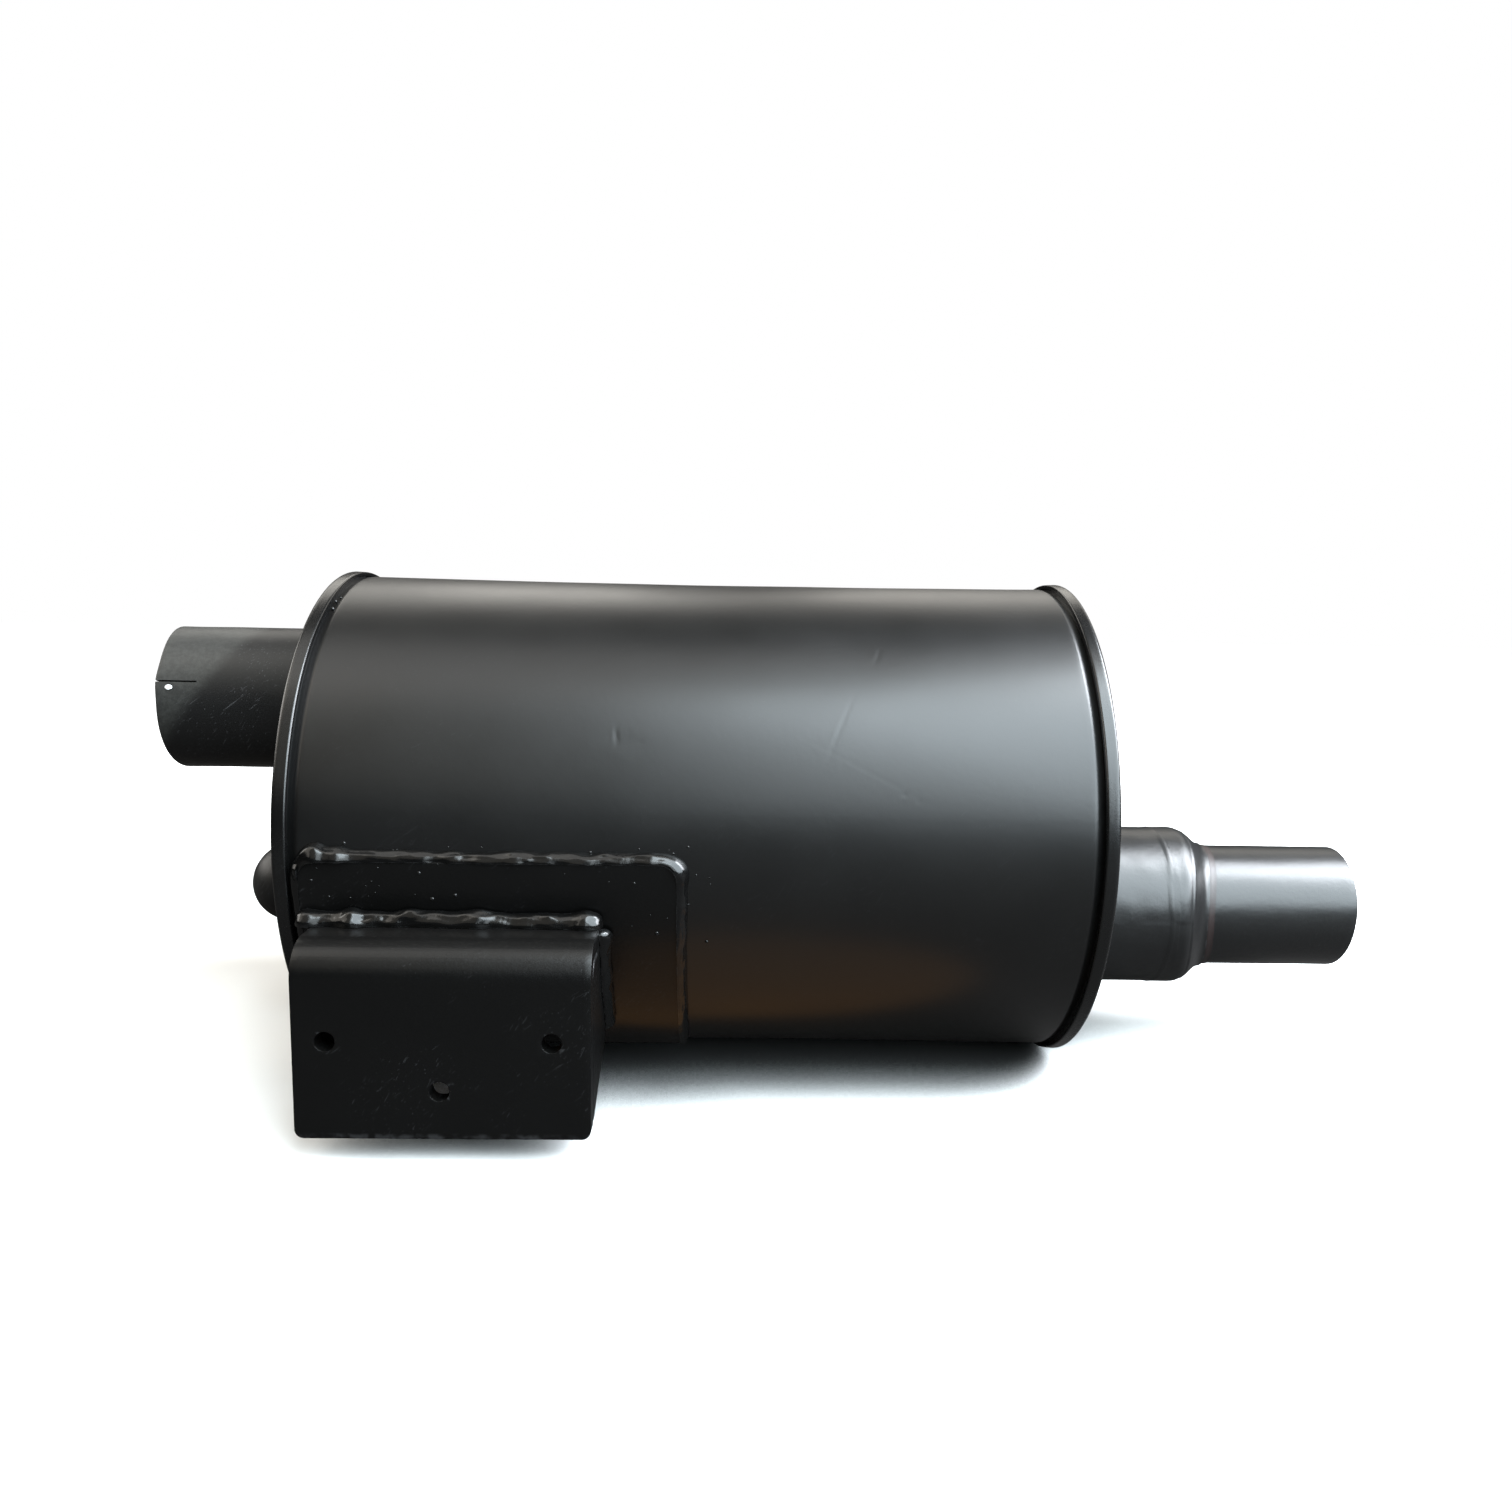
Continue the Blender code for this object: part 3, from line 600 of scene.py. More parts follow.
def scratch_group():
    """A mask of short hairline scratches in three directions."""
    tree, given, result = new_group(
        "Hairline Scratches",
        (("Amount", "NodeSocketFloat", 0.5), ("Cover", "NodeSocketFloat", 0.5)),
        (("Mask", "NodeSocketFloat"),),
    )
    place = object_place(tree)
    total = None
    stretch = (60.0, 1800.0, 1800.0)
    for turn in ((0.4, 0.6, 0.2), (1.3, -0.4, 0.9), (-0.7, 1.0, -0.5)):
        turned_place = add_node(tree, "ShaderNodeMapping", Vector=place, Rotation=turn).outputs[0]
        mapping = add_node(tree, "ShaderNodeMapping", Vector=turned_place, Scale=stretch)
        streak = noise_at(tree, mapping.outputs[0], 1.0, 1.0, 0.4)
        line = ramp(tree, streak, 0.70, 0.76)
        total = line if total is None else calc(tree, "MAXIMUM", total, line)
    top = calc(tree, "ADD", given.outputs["Cover"], 0.10)
    where = ramp(tree, noise_at(tree, place, 35.0, 3.0), given.outputs["Cover"], top)
    mask = calc(tree, "MULTIPLY", calc(tree, "MULTIPLY", total, where), given.outputs["Amount"])
    tree.links.new(mask, result.inputs["Mask"])
    return tree


def dust_group():
    """A mask of fine dust that lies on what faces up."""
    tree, given, result = new_group(
        "Settled Dust",
        (("Amount", "NodeSocketFloat", 0.3),),
        (("Mask", "NodeSocketFloat"),),
    )
    place = object_place(tree)
    facing = tree.nodes.new("ShaderNodeSeparateXYZ")
    tree.links.new(tree.nodes.new("ShaderNodeNewGeometry").outputs["Normal"], facing.inputs[0])
    up = ramp(tree, facing.outputs["Z"], 0.2, 1.0)
    specks = ramp(tree, noise_at(tree, place, 900.0, 5.0, 0.7), 0.5, 0.75)
    film = calc(tree, "MULTIPLY_ADD", specks, 0.7, 0.3)
    mask = calc(tree, "MULTIPLY", calc(tree, "MULTIPLY", up, film), given.outputs["Amount"])
    tree.links.new(mask, result.inputs["Mask"])
    return tree


GROUP_MAKERS = {
    "Paint Film": paint_film_group,
    "Edge Wear": edge_wear_group,
    "Hairline Scratches": scratch_group,
    "Settled Dust": dust_group,
}


def use_group(tree, name, **inputs):
    """Places a node group in a material, making the group the first time."""
    group = bpy.data.node_groups.get(name) or GROUP_MAKERS[name]()
    node = tree.nodes.new("ShaderNodeGroup")
    node.node_tree = group
    return feed_inputs(tree, node, inputs)


# ---------------------------------------------------------------- materials


def new_material(name):
    material = bpy.data.materials.new(name)
    material.use_nodes = True
    tree = material.node_tree
    return material, tree, tree.nodes["Principled BSDF"]


def painted(name, colour, roughness, peel, grain, wear, scratches, dust, bump,
            coat=0.0, tone=0.35, spread=0.10, specular=0.5):
    """Sprayed black paint over steel, with rubbed edges, hairlines and a little dust."""
    found = bpy.data.materials.get(name)
    if found:
        return found
    material, tree, shader = new_material(name)
    film = use_group(
        tree, "Paint Film", Colour=(*colour, 1.0), Roughness=roughness,
        Roughness_Spread=spread, Tone_Spread=tone, Peel=peel, Grain=grain,
    )
    rubbed = use_group(tree, "Edge Wear", Amount=wear).outputs["Mask"]
    lines = use_group(tree, "Hairline Scratches", Amount=scratches).outputs["Mask"]
    settled = use_group(tree, "Settled Dust", Amount=dust).outputs["Mask"]
    rubbed_colour = (0.16, 0.16, 0.165)
    dust_colour = (0.22, 0.20, 0.18)
    base = mix_colour(tree, rubbed, film.outputs["Colour"], rubbed_colour)
    base = mix_colour(tree, lines, base, (0.09, 0.09, 0.095))
    base = mix_colour(tree, settled, base, dust_colour)
    tree.links.new(base, shader.inputs["Base Color"])
    rough = calc(tree, "MULTIPLY_ADD", settled, 0.35, film.outputs["Roughness"])
    rough = calc(tree, "MULTIPLY_ADD", lines, 0.15, rough)
    tree.links.new(rough, shader.inputs["Roughness"])
    height = calc(tree, "MULTIPLY_ADD", lines, -0.6, film.outputs["Height"])
    bumped = add_node(tree, "ShaderNodeBump", Strength=bump, Distance=0.0004, Height=height)
    tree.links.new(bumped.outputs["Normal"], shader.inputs["Normal"])
    shader.inputs["Specular IOR Level"].default_value = specular
    shader.inputs["Coat Weight"].default_value = coat
    shader.inputs["Coat Roughness"].default_value = 0.12
    return material


def body_paint():
    """Satin black on the rolled sheet."""
    return painted("body_paint", settings("muffler_body").paint, 0.35, peel=0.55, grain=0.20,
                   wear=0.25, scratches=0.05, dust=0.01, bump=0.10)


def cap_paint():
    """The same satin black on the end caps, rubbed on the rolled seam."""
    return painted("cap_paint", settings("muffler_body").paint, 0.27, peel=0.5, grain=0.2,
                   wear=0.06, scratches=0.05, dust=0.01, bump=0.12)


def inlet_paint():
    """Thin satin paint on drawn tube."""
    return painted("inlet_paint", settings("muffler_pipes").paint, 0.42, peel=0.45, grain=0.3,
                   wear=0.4, scratches=0.40, dust=0.05, bump=0.12, specular=0.38)


def overspray(material):
    """Painted light and shadow on the socket: a lighter coat towards its open end and top, ending
    along a slanted line that stands in for the shadow of the cap's rim.
    """
    tree = material.node_tree
    shader = tree.nodes["Principled BSDF"]
    if "overspray" in tree.nodes:
        return
    place = object_place(tree)
    split = tree.nodes.new("ShaderNodeSeparateXYZ")
    split.name = "overspray"
    tree.links.new(place, split.inputs[0])
    # Painted light and shadow: lighter above a slanted line towards the mouth, the plain dark coat
    # below it nearer the cap, where the rim's shadow falls.
    slope = 0.75
    toward_mouth = calc(tree, "MULTIPLY", split.outputs["X"], -1.0)
    slanted = calc(tree, "MULTIPLY_ADD", split.outputs["Z"], slope, toward_mouth)
    middle = SOCKET.z * slope - (SOCKET.start + 0.013)
    lit_side = ramp(tree, slanted, middle - 0.004, middle + 0.005)
    fine = ramp(tree, noise_at(tree, place, 500.0, 5.0, 0.7), 0.35, 0.75, 0.6, 1.2)
    amount = calc(tree, "MULTIPLY", lit_side, fine)
    before = shader.inputs["Base Color"].links[0].from_socket
    lit_colour = mix_colour(tree, amount, before, (0.030, 0.030, 0.028))
    tree.links.new(lit_colour, shader.inputs["Base Color"])


def bright_chip():
    """Near-white and not metallic: a painted highlight that stands in for a glint, laid on as a
    small fleck at the socket's lip.
    """
    found = bpy.data.materials.get("bright_chip")
    if found:
        return found
    material, tree, shader = new_material("bright_chip")
    place = object_place(tree)
    tone = ramp(tree, noise_at(tree, place, 900.0, 3.0), 0.3, 0.7)
    # Painted highlight: near-white colour standing in for a glint.
    metal = mix_colour(tree, tone, (0.85, 0.85, 0.84), (0.95, 0.95, 0.94))
    tree.links.new(metal, shader.inputs["Base Color"])
    shader.inputs["Roughness"].default_value = 0.45
    return material


def outlet_paint():
    """Thin paint with a metallic sheen on the outlet's tube."""
    return painted("outlet_paint", settings("muffler_pipes").paint, 0.33, peel=0.8, grain=0.35,
                   wear=0.2, scratches=0.06, dust=0.01, bump=0.18, tone=0.5)


def bracket_paint():
    """Semi-gloss black on hot-rolled plate, with a lighter cut edge."""
    return painted("bracket_paint", settings("muffler_bracket").paint, 0.32, peel=0.9, grain=0.3,
                   wear=0.12, scratches=0.13, dust=0.02, bump=0.14, specular=0.32)


def weld_paint():
    """Glossy black pooled over weld metal."""
    return painted("weld_paint", settings("muffler_welds").paint, 0.18, peel=1.0, grain=0.3,
                   wear=0.06, scratches=0.0, dust=0.0, bump=0.12, specular=0.42)


def neck_paint():
    """Paint over the outlet's joint, with a faint rusty tint."""
    return painted("neck_paint", (0.016, 0.0100, 0.0095), 0.42, peel=0.6, grain=0.4,
                   wear=0.0, scratches=0.0, dust=0.0, bump=0.15, specular=0.42)


def soot():
    """Dull black inside the pipes: soot, and painted shade for the dark inside of the bore."""
    return painted("soot", (0.0030, 0.0028, 0.0026), 0.85, peel=0.3, grain=0.8,
                   wear=0.0, scratches=0.0, dust=0.0, bump=0.2)


def bare_steel():
    """Unpainted mild steel inside the pipes, dull with a brown bloom."""
    found = bpy.data.materials.get("bare_steel")
    if found:
        return found
    material, tree, shader = new_material("bare_steel")
    place = object_place(tree)
    bloom = ramp(tree, noise_at(tree, place, 60.0, 5.0), 0.4, 0.65)
    colour = mix_colour(tree, bloom, (0.20, 0.185, 0.17), (0.10, 0.060, 0.035))
    tree.links.new(colour, shader.inputs["Base Color"])
    tree.links.new(ramp(tree, bloom, 0.0, 1.0, 0.42, 0.75), shader.inputs["Roughness"])
    tree.links.new(ramp(tree, bloom, 0.0, 1.0, 1.0, 0.35), shader.inputs["Metallic"])
    grain = noise_at(tree, place, 1500.0, 4.0)
    bumped = add_node(tree, "ShaderNodeBump", Strength=0.25, Distance=0.0003, Height=grain)
    tree.links.new(bumped.outputs["Normal"], shader.inputs["Normal"])
    return material


# ---------------------------------------------------------------- body


Mark = namedtuple("Mark", "x degrees length width share lean")
MARKS = (
    Mark(0.0536, -25.8, 0.0052, 0.0013, 0.9, 84.0),
    Mark(0.0560, -25.0, 0.0120, 0.0060, 0.5, 10.0),
    Mark(0.0619, -24.4, 0.0022, 0.0014, 0.4, 0.0),
    Mark(0.1316, -28.8, 0.0210, 0.0015, 0.6, 111.0),
    Mark(0.1458, -47.0, 0.0075, 0.0014, 0.8, 108.0),
    Mark(0.1531, -14.0, 0.0018, 0.0014, 0.8, 0.0),
    Mark(0.1580, -12.6, 0.0018, 0.0014, 0.5, 0.0),
    Mark(0.1400, -19.0, 0.0500, 0.0013, 0.16, 28.0),
)
FINE_X = ((0.047, 0.066), (0.122, 0.160))
FINE_ANGLES = ((math.radians(-52), math.radians(-9)),)


def marked(x, angle):
    """How far handling has pushed the sheet in at each point."""
    total = np.zeros_like(x)
    for mark in MARKS:
        du = x - mark.x
        turn = (angle - math.radians(mark.degrees) + math.pi) % (2 * math.pi) - math.pi
        dv = turn * SHELL.radius
        lean = math.radians(mark.lean)
        along = (du * math.cos(lean) + dv * math.sin(lean)) / (mark.length / 2)
        across = (dv * math.cos(lean) - du * math.sin(lean)) / (mark.width / 2)
        hollow = np.exp(-along ** 2 - across ** 2)
        raised_side = np.exp(-along ** 2 - (across - 1.7) ** 2)
        total += mark.share * (hollow - 0.3 * raised_side)
    return total * settings("muffler_body").dent_depth


class MUFFLER_OT_shell(bpy.types.Operator):
    """Build the rolled shell, waisted, with a groove beside each seam and small dents"""

    bl_idname = "muffler.shell"
    bl_label = "Shell"

    def execute(self, context):
        body = settings("muffler_body")
        start, end, flat = SHELL.start, SHELL.end, SHELL.radius
        edge = body.seam_width - 2 * CLEARANCE
        left = [(start, 0.0), (BODY_START + edge, 0.0)]
        for share in np.linspace(0, 1, 12):
            depth = GROOVE_DEPTH * (1 + math.cos(math.pi * share))
            left.append((BODY_START + edge + 0.0002 + GROOVE_WIDTH * share, depth))
        right = [(BODY_START + BODY_END - x, depth) for x, depth in reversed(left)]
        middle = stations(left[-1][0] + 0.0016, right[0][0] - 0.0016, 0.0030, FINE_X, 0.0007)
        outside = [(x, flat - depth) for x, depth in left] + [(x, flat) for x in middle]
        outside += [(x, flat - depth) for x, depth in right]
        bore = flat - body.shell_wall
        inside = [(x, bore) for x in np.linspace(end, start, 24)]
        count = len(outside)
        bend = waves(3, 9, 0.05, 0.16)

        def shape(x, radius, angle):
            moved = radius - (SHELL.radius - shell_radius(x))
            from_ends = np.clip((x - start) * (end - x) * 400, 0, 1)
            swell = 0.00010 * bend(x, np.sin(angle) * 0.15) * from_ends
            outer = (np.arange(len(x)) < count)[:, None]
            return x, moved - np.where(outer, marked(x, angle) - swell, 0.0)

        angles = stations(-math.pi, math.pi, 0.022, FINE_ANGLES, 0.0065)[:-1]
        shell = turned("shell_skin", outside + inside, angles, SHELL, body_paint(), shape)
        settle(shell, "black_satin", "shell")
        return {"FINISHED"}


def cap_outline(seam_width):
    """The inlet cap's section: crowned disc, recess wall, rolled seam and the hidden back."""
    lip = SHELL.radius + CLEARANCE
    skirt = SHELL.radius - settings("muffler_body").shell_wall - CLEARANCE
    recess = skirt - CAP_WALL
    outer = INLET_CAP.radius
    fillet, roll = 0.005, 0.00115
    centre = CAP_RECESS
    face = run((centre, 0.0008), (centre, recess - fillet), 26, False)
    face += arc(centre - fillet, recess - fillet, fillet, 0, 90, 10)[1:]
    face += run((centre - fillet, recess), (roll, recess), 6)
    face += arc(roll, recess + roll, roll, 270, 180, 7)
    face += run((0.0, recess + roll), (0.0, outer - roll * 1.2), 3)
    face += arc(roll * 1.2, outer - roll * 1.2, roll * 1.2, 180, 90, 9)
    tight = 0.0007
    face += run((roll * 1.2, outer), (seam_width - tight, outer - 0.00015), 4)
    face += arc(seam_width - tight, outer - 0.00015 - tight, tight, 90, 0, 8)
    back = [(seam_width, lip), (CAP_WALL, lip), (CAP_WALL, skirt)]
    turn = fillet + CAP_WALL
    back += arc(centre + CAP_WALL - turn, skirt - turn, turn, 90, 0, 8)
    back += run((centre + CAP_WALL, skirt - turn), (centre + CAP_WALL, 0.0008), 10, False)[1:]
    return face + back


class MUFFLER_OT_end_caps(bpy.types.Operator):
    """Build the two dished end caps with their seams rolled over the shell"""

    bl_idname = "muffler.end_caps"
    bl_label = "End caps"

    def execute(self, context):
        outline = cap_outline(settings("muffler_body").seam_width)
        wobble = waves(11, 7, 0.04, 0.15)
        ends = (
            ("inlet_cap_skin", "inlet_end_cap", BODY_START, 1.0, (SOCKET, STUB)),
            ("outlet_cap_skin", "outlet_end_cap", BODY_END, -1.0, (SLEEVE,)),
        )
        for name, node, face, inward, pipes in ends:
            points = [(face + inward * x, radius) for x, radius in outline]

            def shape(x, radius, angle):
                rim = np.clip((radius - SHELL.radius) / 0.0015, 0, 1)
                uneven = wobble(np.cos(angle) * SHELL.radius, np.sin(angle) * SHELL.radius)
                crown = CAP_CROWN * np.clip(1 - (radius / (SHELL.radius * 0.9)) ** 2, 0, 1)
                recessed = np.abs(x - face) > CAP_RECESS - 1e-6
                crowned = x - inward * np.where(recessed, crown, 0.0)
                return crowned, radius - rim * (RIM_WOBBLE + RIM_WOBBLE * uneven)

            cap = turned(name, points, even_angles(288), INLET_CAP, cap_paint(), shape)
            for pipe in pipes:
                centre = (face + inward * CAP_RECESS, pipe.y, pipe.z)
                cut_round(cap, centre, "X", pipe.radius + CLEARANCE, 0.02)
            cap.data.set_sharp_from_angle(angle=math.radians(40))
            settle(cap, "black_satin", node)
        return {"FINISHED"}


# ---------------------------------------------------------------- pipes


def pipe_outline(mouth, tail, radius, wall, mouth_round):
    """A pipe's section, from its mouth along the outside to its tail and back along the bore."""
    bore = radius - wall
    toward = 1.0 if tail > mouth else -1.0
    corner = arc(0.0, 0.0, mouth_round, 180, 90, 5)
    outside = [(mouth + toward * (mouth_round + x), radius - mouth_round + r) for x, r in corner]
    outside += run((mouth + toward * mouth_round, radius), (tail, radius), 48)
    outside += [(tail, radius), (tail, bore)]
    outside += run((tail, bore), (mouth + toward * mouth_round, bore), 48)
    corner = arc(0.0, 0.0, mouth_round, 270, 180, 5)
    outside += [(mouth + toward * (mouth_round + x), bore + mouth_round + r) for x, r in corner]
    return outside


class MUFFLER_OT_inlet_socket(bpy.types.Operator):
    """Build the inlet socket, sawn at its mouth for a clamp"""

    bl_idname = "muffler.inlet_socket"
    bl_label = "Inlet socket"

    def execute(self, context):
        pipes = settings("muffler_pipes")
        tilt = math.radians(-17.0)
        mouth = SOCKET.start
        uneven = waves(21, 6, 0.02, 0.09)

        def shape(x, radius, angle):
            from_mouth = np.exp(-((x - mouth) / 0.007) ** 2)
            near = np.zeros_like(x)
            for side in (tilt, tilt + math.pi):
                turn = (angle - side + math.pi) % (2 * math.pi) - math.pi
                near = near + np.exp(-((turn * SOCKET.radius) / 0.006) ** 2)
            lifted = radius + 0.00035 * near * from_mouth
            round_off = 0.00012 * uneven(x, angle * SOCKET.radius)
            ragged = np.exp(-((x - mouth) / 0.010) ** 2) * (0.0016 - 0.0006 * np.sin(angle))
            pushed = ragged * np.sin(angle - tilt) ** 2 + 0.0005 * from_mouth * np.clip(near, 0, 1)
            return x - pushed + 0.0005 * from_mouth, lifted + round_off - 0.00012

        outline = pipe_outline(mouth, SOCKET.end, SOCKET.radius, pipes.socket_wall, 0.0007)
        socket = turned("inlet_socket_skin", outline, even_angles(192), SOCKET,
                        inlet_paint(), shape)
        saw = bmesh.new()
        reach = SOCKET.radius * 4
        place = Matrix.Translation((mouth, SOCKET.y, SOCKET.z)) @ Matrix.Rotation(tilt, 4, "X")
        size = Matrix.Diagonal((pipes.slot_length * 2, reach, pipes.slot_width, 1))
        bmesh.ops.create_cube(saw, size=1.0, matrix=place @ size)
        subtract(socket, saw)
        blacken_bore(socket, SOCKET, SOCKET.radius - 0.0006)
        # Painted light and shadow on the socket, ending at the cap rim's shadow line.
        overspray(socket.data.materials[0])
        self.glint_fleck(mouth, tilt)
        settle(socket, "black_pipe", "inlet_socket")
        return {"FINISHED"}

    def glint_fleck(self, mouth, tilt):
        """A painted highlight just below the saw cut, at the lip: a flat near-white fleck that
        stands in for a glint.
        """
        angle = tilt + 0.085
        radius = SOCKET.radius + 0.00018
        y = SOCKET.y - radius * math.cos(angle)
        z = SOCKET.z - radius * math.sin(angle)
        turn = Matrix.Translation((mouth + 0.0055, y, z)) @ Matrix.Rotation(angle, 4, "X")
        flattened = turn @ Matrix.Diagonal((1.25, 0.22, 0.85, 1.0))
        tool = bmesh.new()
        bmesh.ops.create_icosphere(tool, subdivisions=3, radius=0.00115, matrix=flattened)
        glint_fleck = object_from("socket_chip", tool, bright_chip())
        glint_fleck.data.shade_smooth()
        settle(glint_fleck, "black_pipe")


class MUFFLER_OT_closed_stub(bpy.types.Operator):
    """Build the short closed tube on the inlet cap"""

    bl_idname = "muffler.closed_stub"
    bl_label = "Closed stub"

    def execute(self, context):
        bore = STUB.radius - STUB_WALL
        centre = STUB.start + STUB.radius + 0.0008
        outside = arc(centre, 0.0, STUB.radius, 179.0, 90, 28)
        outside += run((centre, STUB.radius), (STUB.end, STUB.radius), 20)
        inside = [(STUB.end, STUB.radius), (STUB.end, bore)]
        inside += run((STUB.end, bore), (centre, bore), 12)
        inside += arc(centre, 0.0, bore, 90, 178.5, 16)
        uneven = waves(31, 5, 0.01, 0.04)

        def shape(x, radius, angle):
            return x, radius * (1 + 0.006 * (uneven(x, angle * STUB.radius) - 1))

        stub = turned("closed_stub_skin", outside + inside, even_angles(96), STUB,
                      inlet_paint(), shape)
        settle(stub, "black_pipe", "closed_stub")
        return {"FINISHED"}


SHOULDER = 0.0130
LIP = 0.0009
NECK_LEAN = 0.0050


def shoulder_outline():
    """The sleeve's section, with the round shoulder that closes down on the spigot."""
    wall = settings("muffler_pipes").sleeve_wall
    neck = SPIGOT.radius + CLEARANCE
    drop = SLEEVE.radius - neck - LIP
    top = SLEEVE.end - SHOULDER
    outside = run((SLEEVE.start, SLEEVE.radius), (top, SLEEVE.radius), 90, False)
    for share in np.linspace(0, 1, 26)[1:]:
        fall = (1 - math.cos(math.pi * share ** 1.15)) / 2
        outside.append((top + SHOULDER * share, SLEEVE.radius - drop * fall))
    inside = [(SLEEVE.end, neck), (SLEEVE.end - SHOULDER * 0.2, neck)]
    inside += run(inside[-1], (top, SLEEVE.radius - wall), 8)
    inside += run((top, SLEEVE.radius - wall), (SLEEVE.start, SLEEVE.radius - wall), 20, False)
    return outside + inside


def neck_shift(x, angle):
    """The shoulder sits further back on the front of the sleeve than at its top and bottom."""
    near = np.clip((x - SLEEVE.end + SHOULDER * 1.6) / (SHOULDER * 0.6), 0, 1)
    return -NECK_LEAN * facing_front(angle) * near * near * (3 - 2 * near)


class MUFFLER_OT_outlet(bpy.types.Operator):
    """Build the outlet sleeve, drawn down over a shoulder, and the spigot in it"""

    bl_idname = "muffler.outlet"
    bl_label = "Outlet"

    def execute(self, context):
        pipes = settings("muffler_pipes")
        uneven = waves(41, 8, 0.008, 0.05)
        seam = BODY_END + 0.0455

        def sleeve_shape(x, radius, angle):
            line = seam + 0.0007 * np.sin(angle + 2.6) + 0.0007 * np.sin(angle * 3 - 0.6)
            line = line + 0.0004 * np.sin(angle * 7 + 1.0)
            ridge = np.exp(-((x - line) / 0.00045) ** 2) + 0.7 / (1 + np.exp((line - x) / 0.0003))
            outer = radius > SLEEVE.radius - 0.0012
            lumps = 0.00016 * (uneven(x, angle * SLEEVE.radius) - 1)
            raised = np.where(outer, 0.00022 * (ridge - 1.7) + lumps * 0.7, 0.0)
            return x + neck_shift(x, angle), radius + raised

        sleeve = turned("outlet_sleeve_skin", shoulder_outline(), even_angles(256), SLEEVE,
                        outlet_paint(), sleeve_shape)
        settle(sleeve, "black_pipe", "outlet_sleeve")

        def spigot_shape(x, radius, angle):
            lumps = 0.00005 * (uneven(x * 0.7, angle * SPIGOT.radius) - 1)
            at_mouth = np.exp(-((SPIGOT.end - x) / 0.012) ** 2)
            return x + 0.0011 * at_mouth * (1 - np.sin(angle)), radius + lumps

        outline = pipe_outline(SPIGOT.end, SPIGOT.start, SPIGOT.radius, pipes.spigot_wall, 0.0006)
        spigot = turned("outlet_spigot_skin", outline, even_angles(160), SPIGOT,
                        outlet_paint(), spigot_shape)
        blacken_bore(spigot, SPIGOT, SPIGOT.radius - 0.0008)
        settle(spigot, "black_pipe", "outlet_spigot")
        return {"FINISHED"}


# ---------------------------------------------------------------- bracket


SADDLE_TOP = math.radians(1.0)
SADDLE_BOTTOM = math.radians(60.0)
SADDLE_CORNER = 0.0060
FLANGE_Z = PLATE_HIGH.z
FACE_Y = PLATE_LOW.y
GUSSET_END = math.radians(43.0)
GUSSET_THICKNESS = 0.0050


def saddle_outline(spacing):
    """Round the saddle, from low on its left edge to low on its right.

    Rows of (x, angle, outward along x, outward along the angle), about spacing apart.
    """
    radius = SHELL.radius + settings("muffler_bracket").saddle_thickness
    start, end = SADDLE_LOW.x, SADDLE_HIGH.x
    turn = SADDLE_CORNER
    turn_angle = turn / radius
    down = np.linspace(SADDLE_BOTTOM, SADDLE_TOP + turn_angle,
                       int((SADDLE_BOTTOM - SADDLE_TOP) * radius / spacing))[:-1]
    rows = [(start, angle, -1.0, 0.0) for angle in down]
    corner_count = max(4, int(turn * math.pi / 2 / spacing))
    for centre_x, first in ((start + turn, 180), (end - turn, 270)):
        for around in np.radians(np.linspace(first, first + 90, corner_count + 1)):
            out_x, out_angle = math.cos(around), math.sin(around)
            angle = SADDLE_TOP + turn_angle * (1 + out_angle)
            rows.append((centre_x + turn * out_x, angle, out_x, out_angle))
        if first == 180:
            flat = np.linspace(start + turn, end - turn, int((end - start) / spacing))[1:-1]
            rows += [(x, SADDLE_TOP, 0.0, -1.0) for x in flat]
    rows += [(end, angle, 1.0, 0.0) for angle in down[::-1]]
    return np.array(rows)


class MUFFLER_OT_saddle(bpy.types.Operator):
    """Build the doubler plate rolled onto the shell"""

    bl_idname = "muffler.saddle"
    bl_label = "Saddle"

    def execute(self, context):
        bracket = settings("muffler_bracket")
        edge = saddle_outline(0.0012)
        upper = edge[edge[:, 3] < -1e-6]
        columns = [(SADDLE_LOW.x, upper[0][1]), *[(row[0], row[1]) for row in upper],
                   (SADDLE_HIGH.x, upper[-1][1])]
        uneven = waves(51, 6, 0.02, 0.08)
        rings = []
        for x, top in columns:
            base = float(shell_radius(np.array(x))) + CLEARANCE
            angles = np.linspace(top, SADDLE_BOTTOM, 60)
            swell = 0.00008 * (uneven(x, angles * base) - 1)
            outside = on_body(x, angles, base + bracket.saddle_thickness + swell)
            inside = on_body(x, angles[::-1], base)
            rings.append(np.concatenate((outside, inside)))
        saddle = lofted("saddle_skin", rings, bracket_paint())
        round_edges(saddle, bracket.edge_round, 60.0)
        settle(saddle, "black_bracket", "saddle_plate")
        return {"FINISHED"}


def front_y(z, radius):
    """Where a circle about the body's axis stands at height z, on the front."""
    return SHELL.y - math.sqrt(radius * radius - (SHELL.z - z) ** 2)


def saddle_outside():
    return SHELL.radius + CLEARANCE + settings("muffler_bracket").saddle_thickness


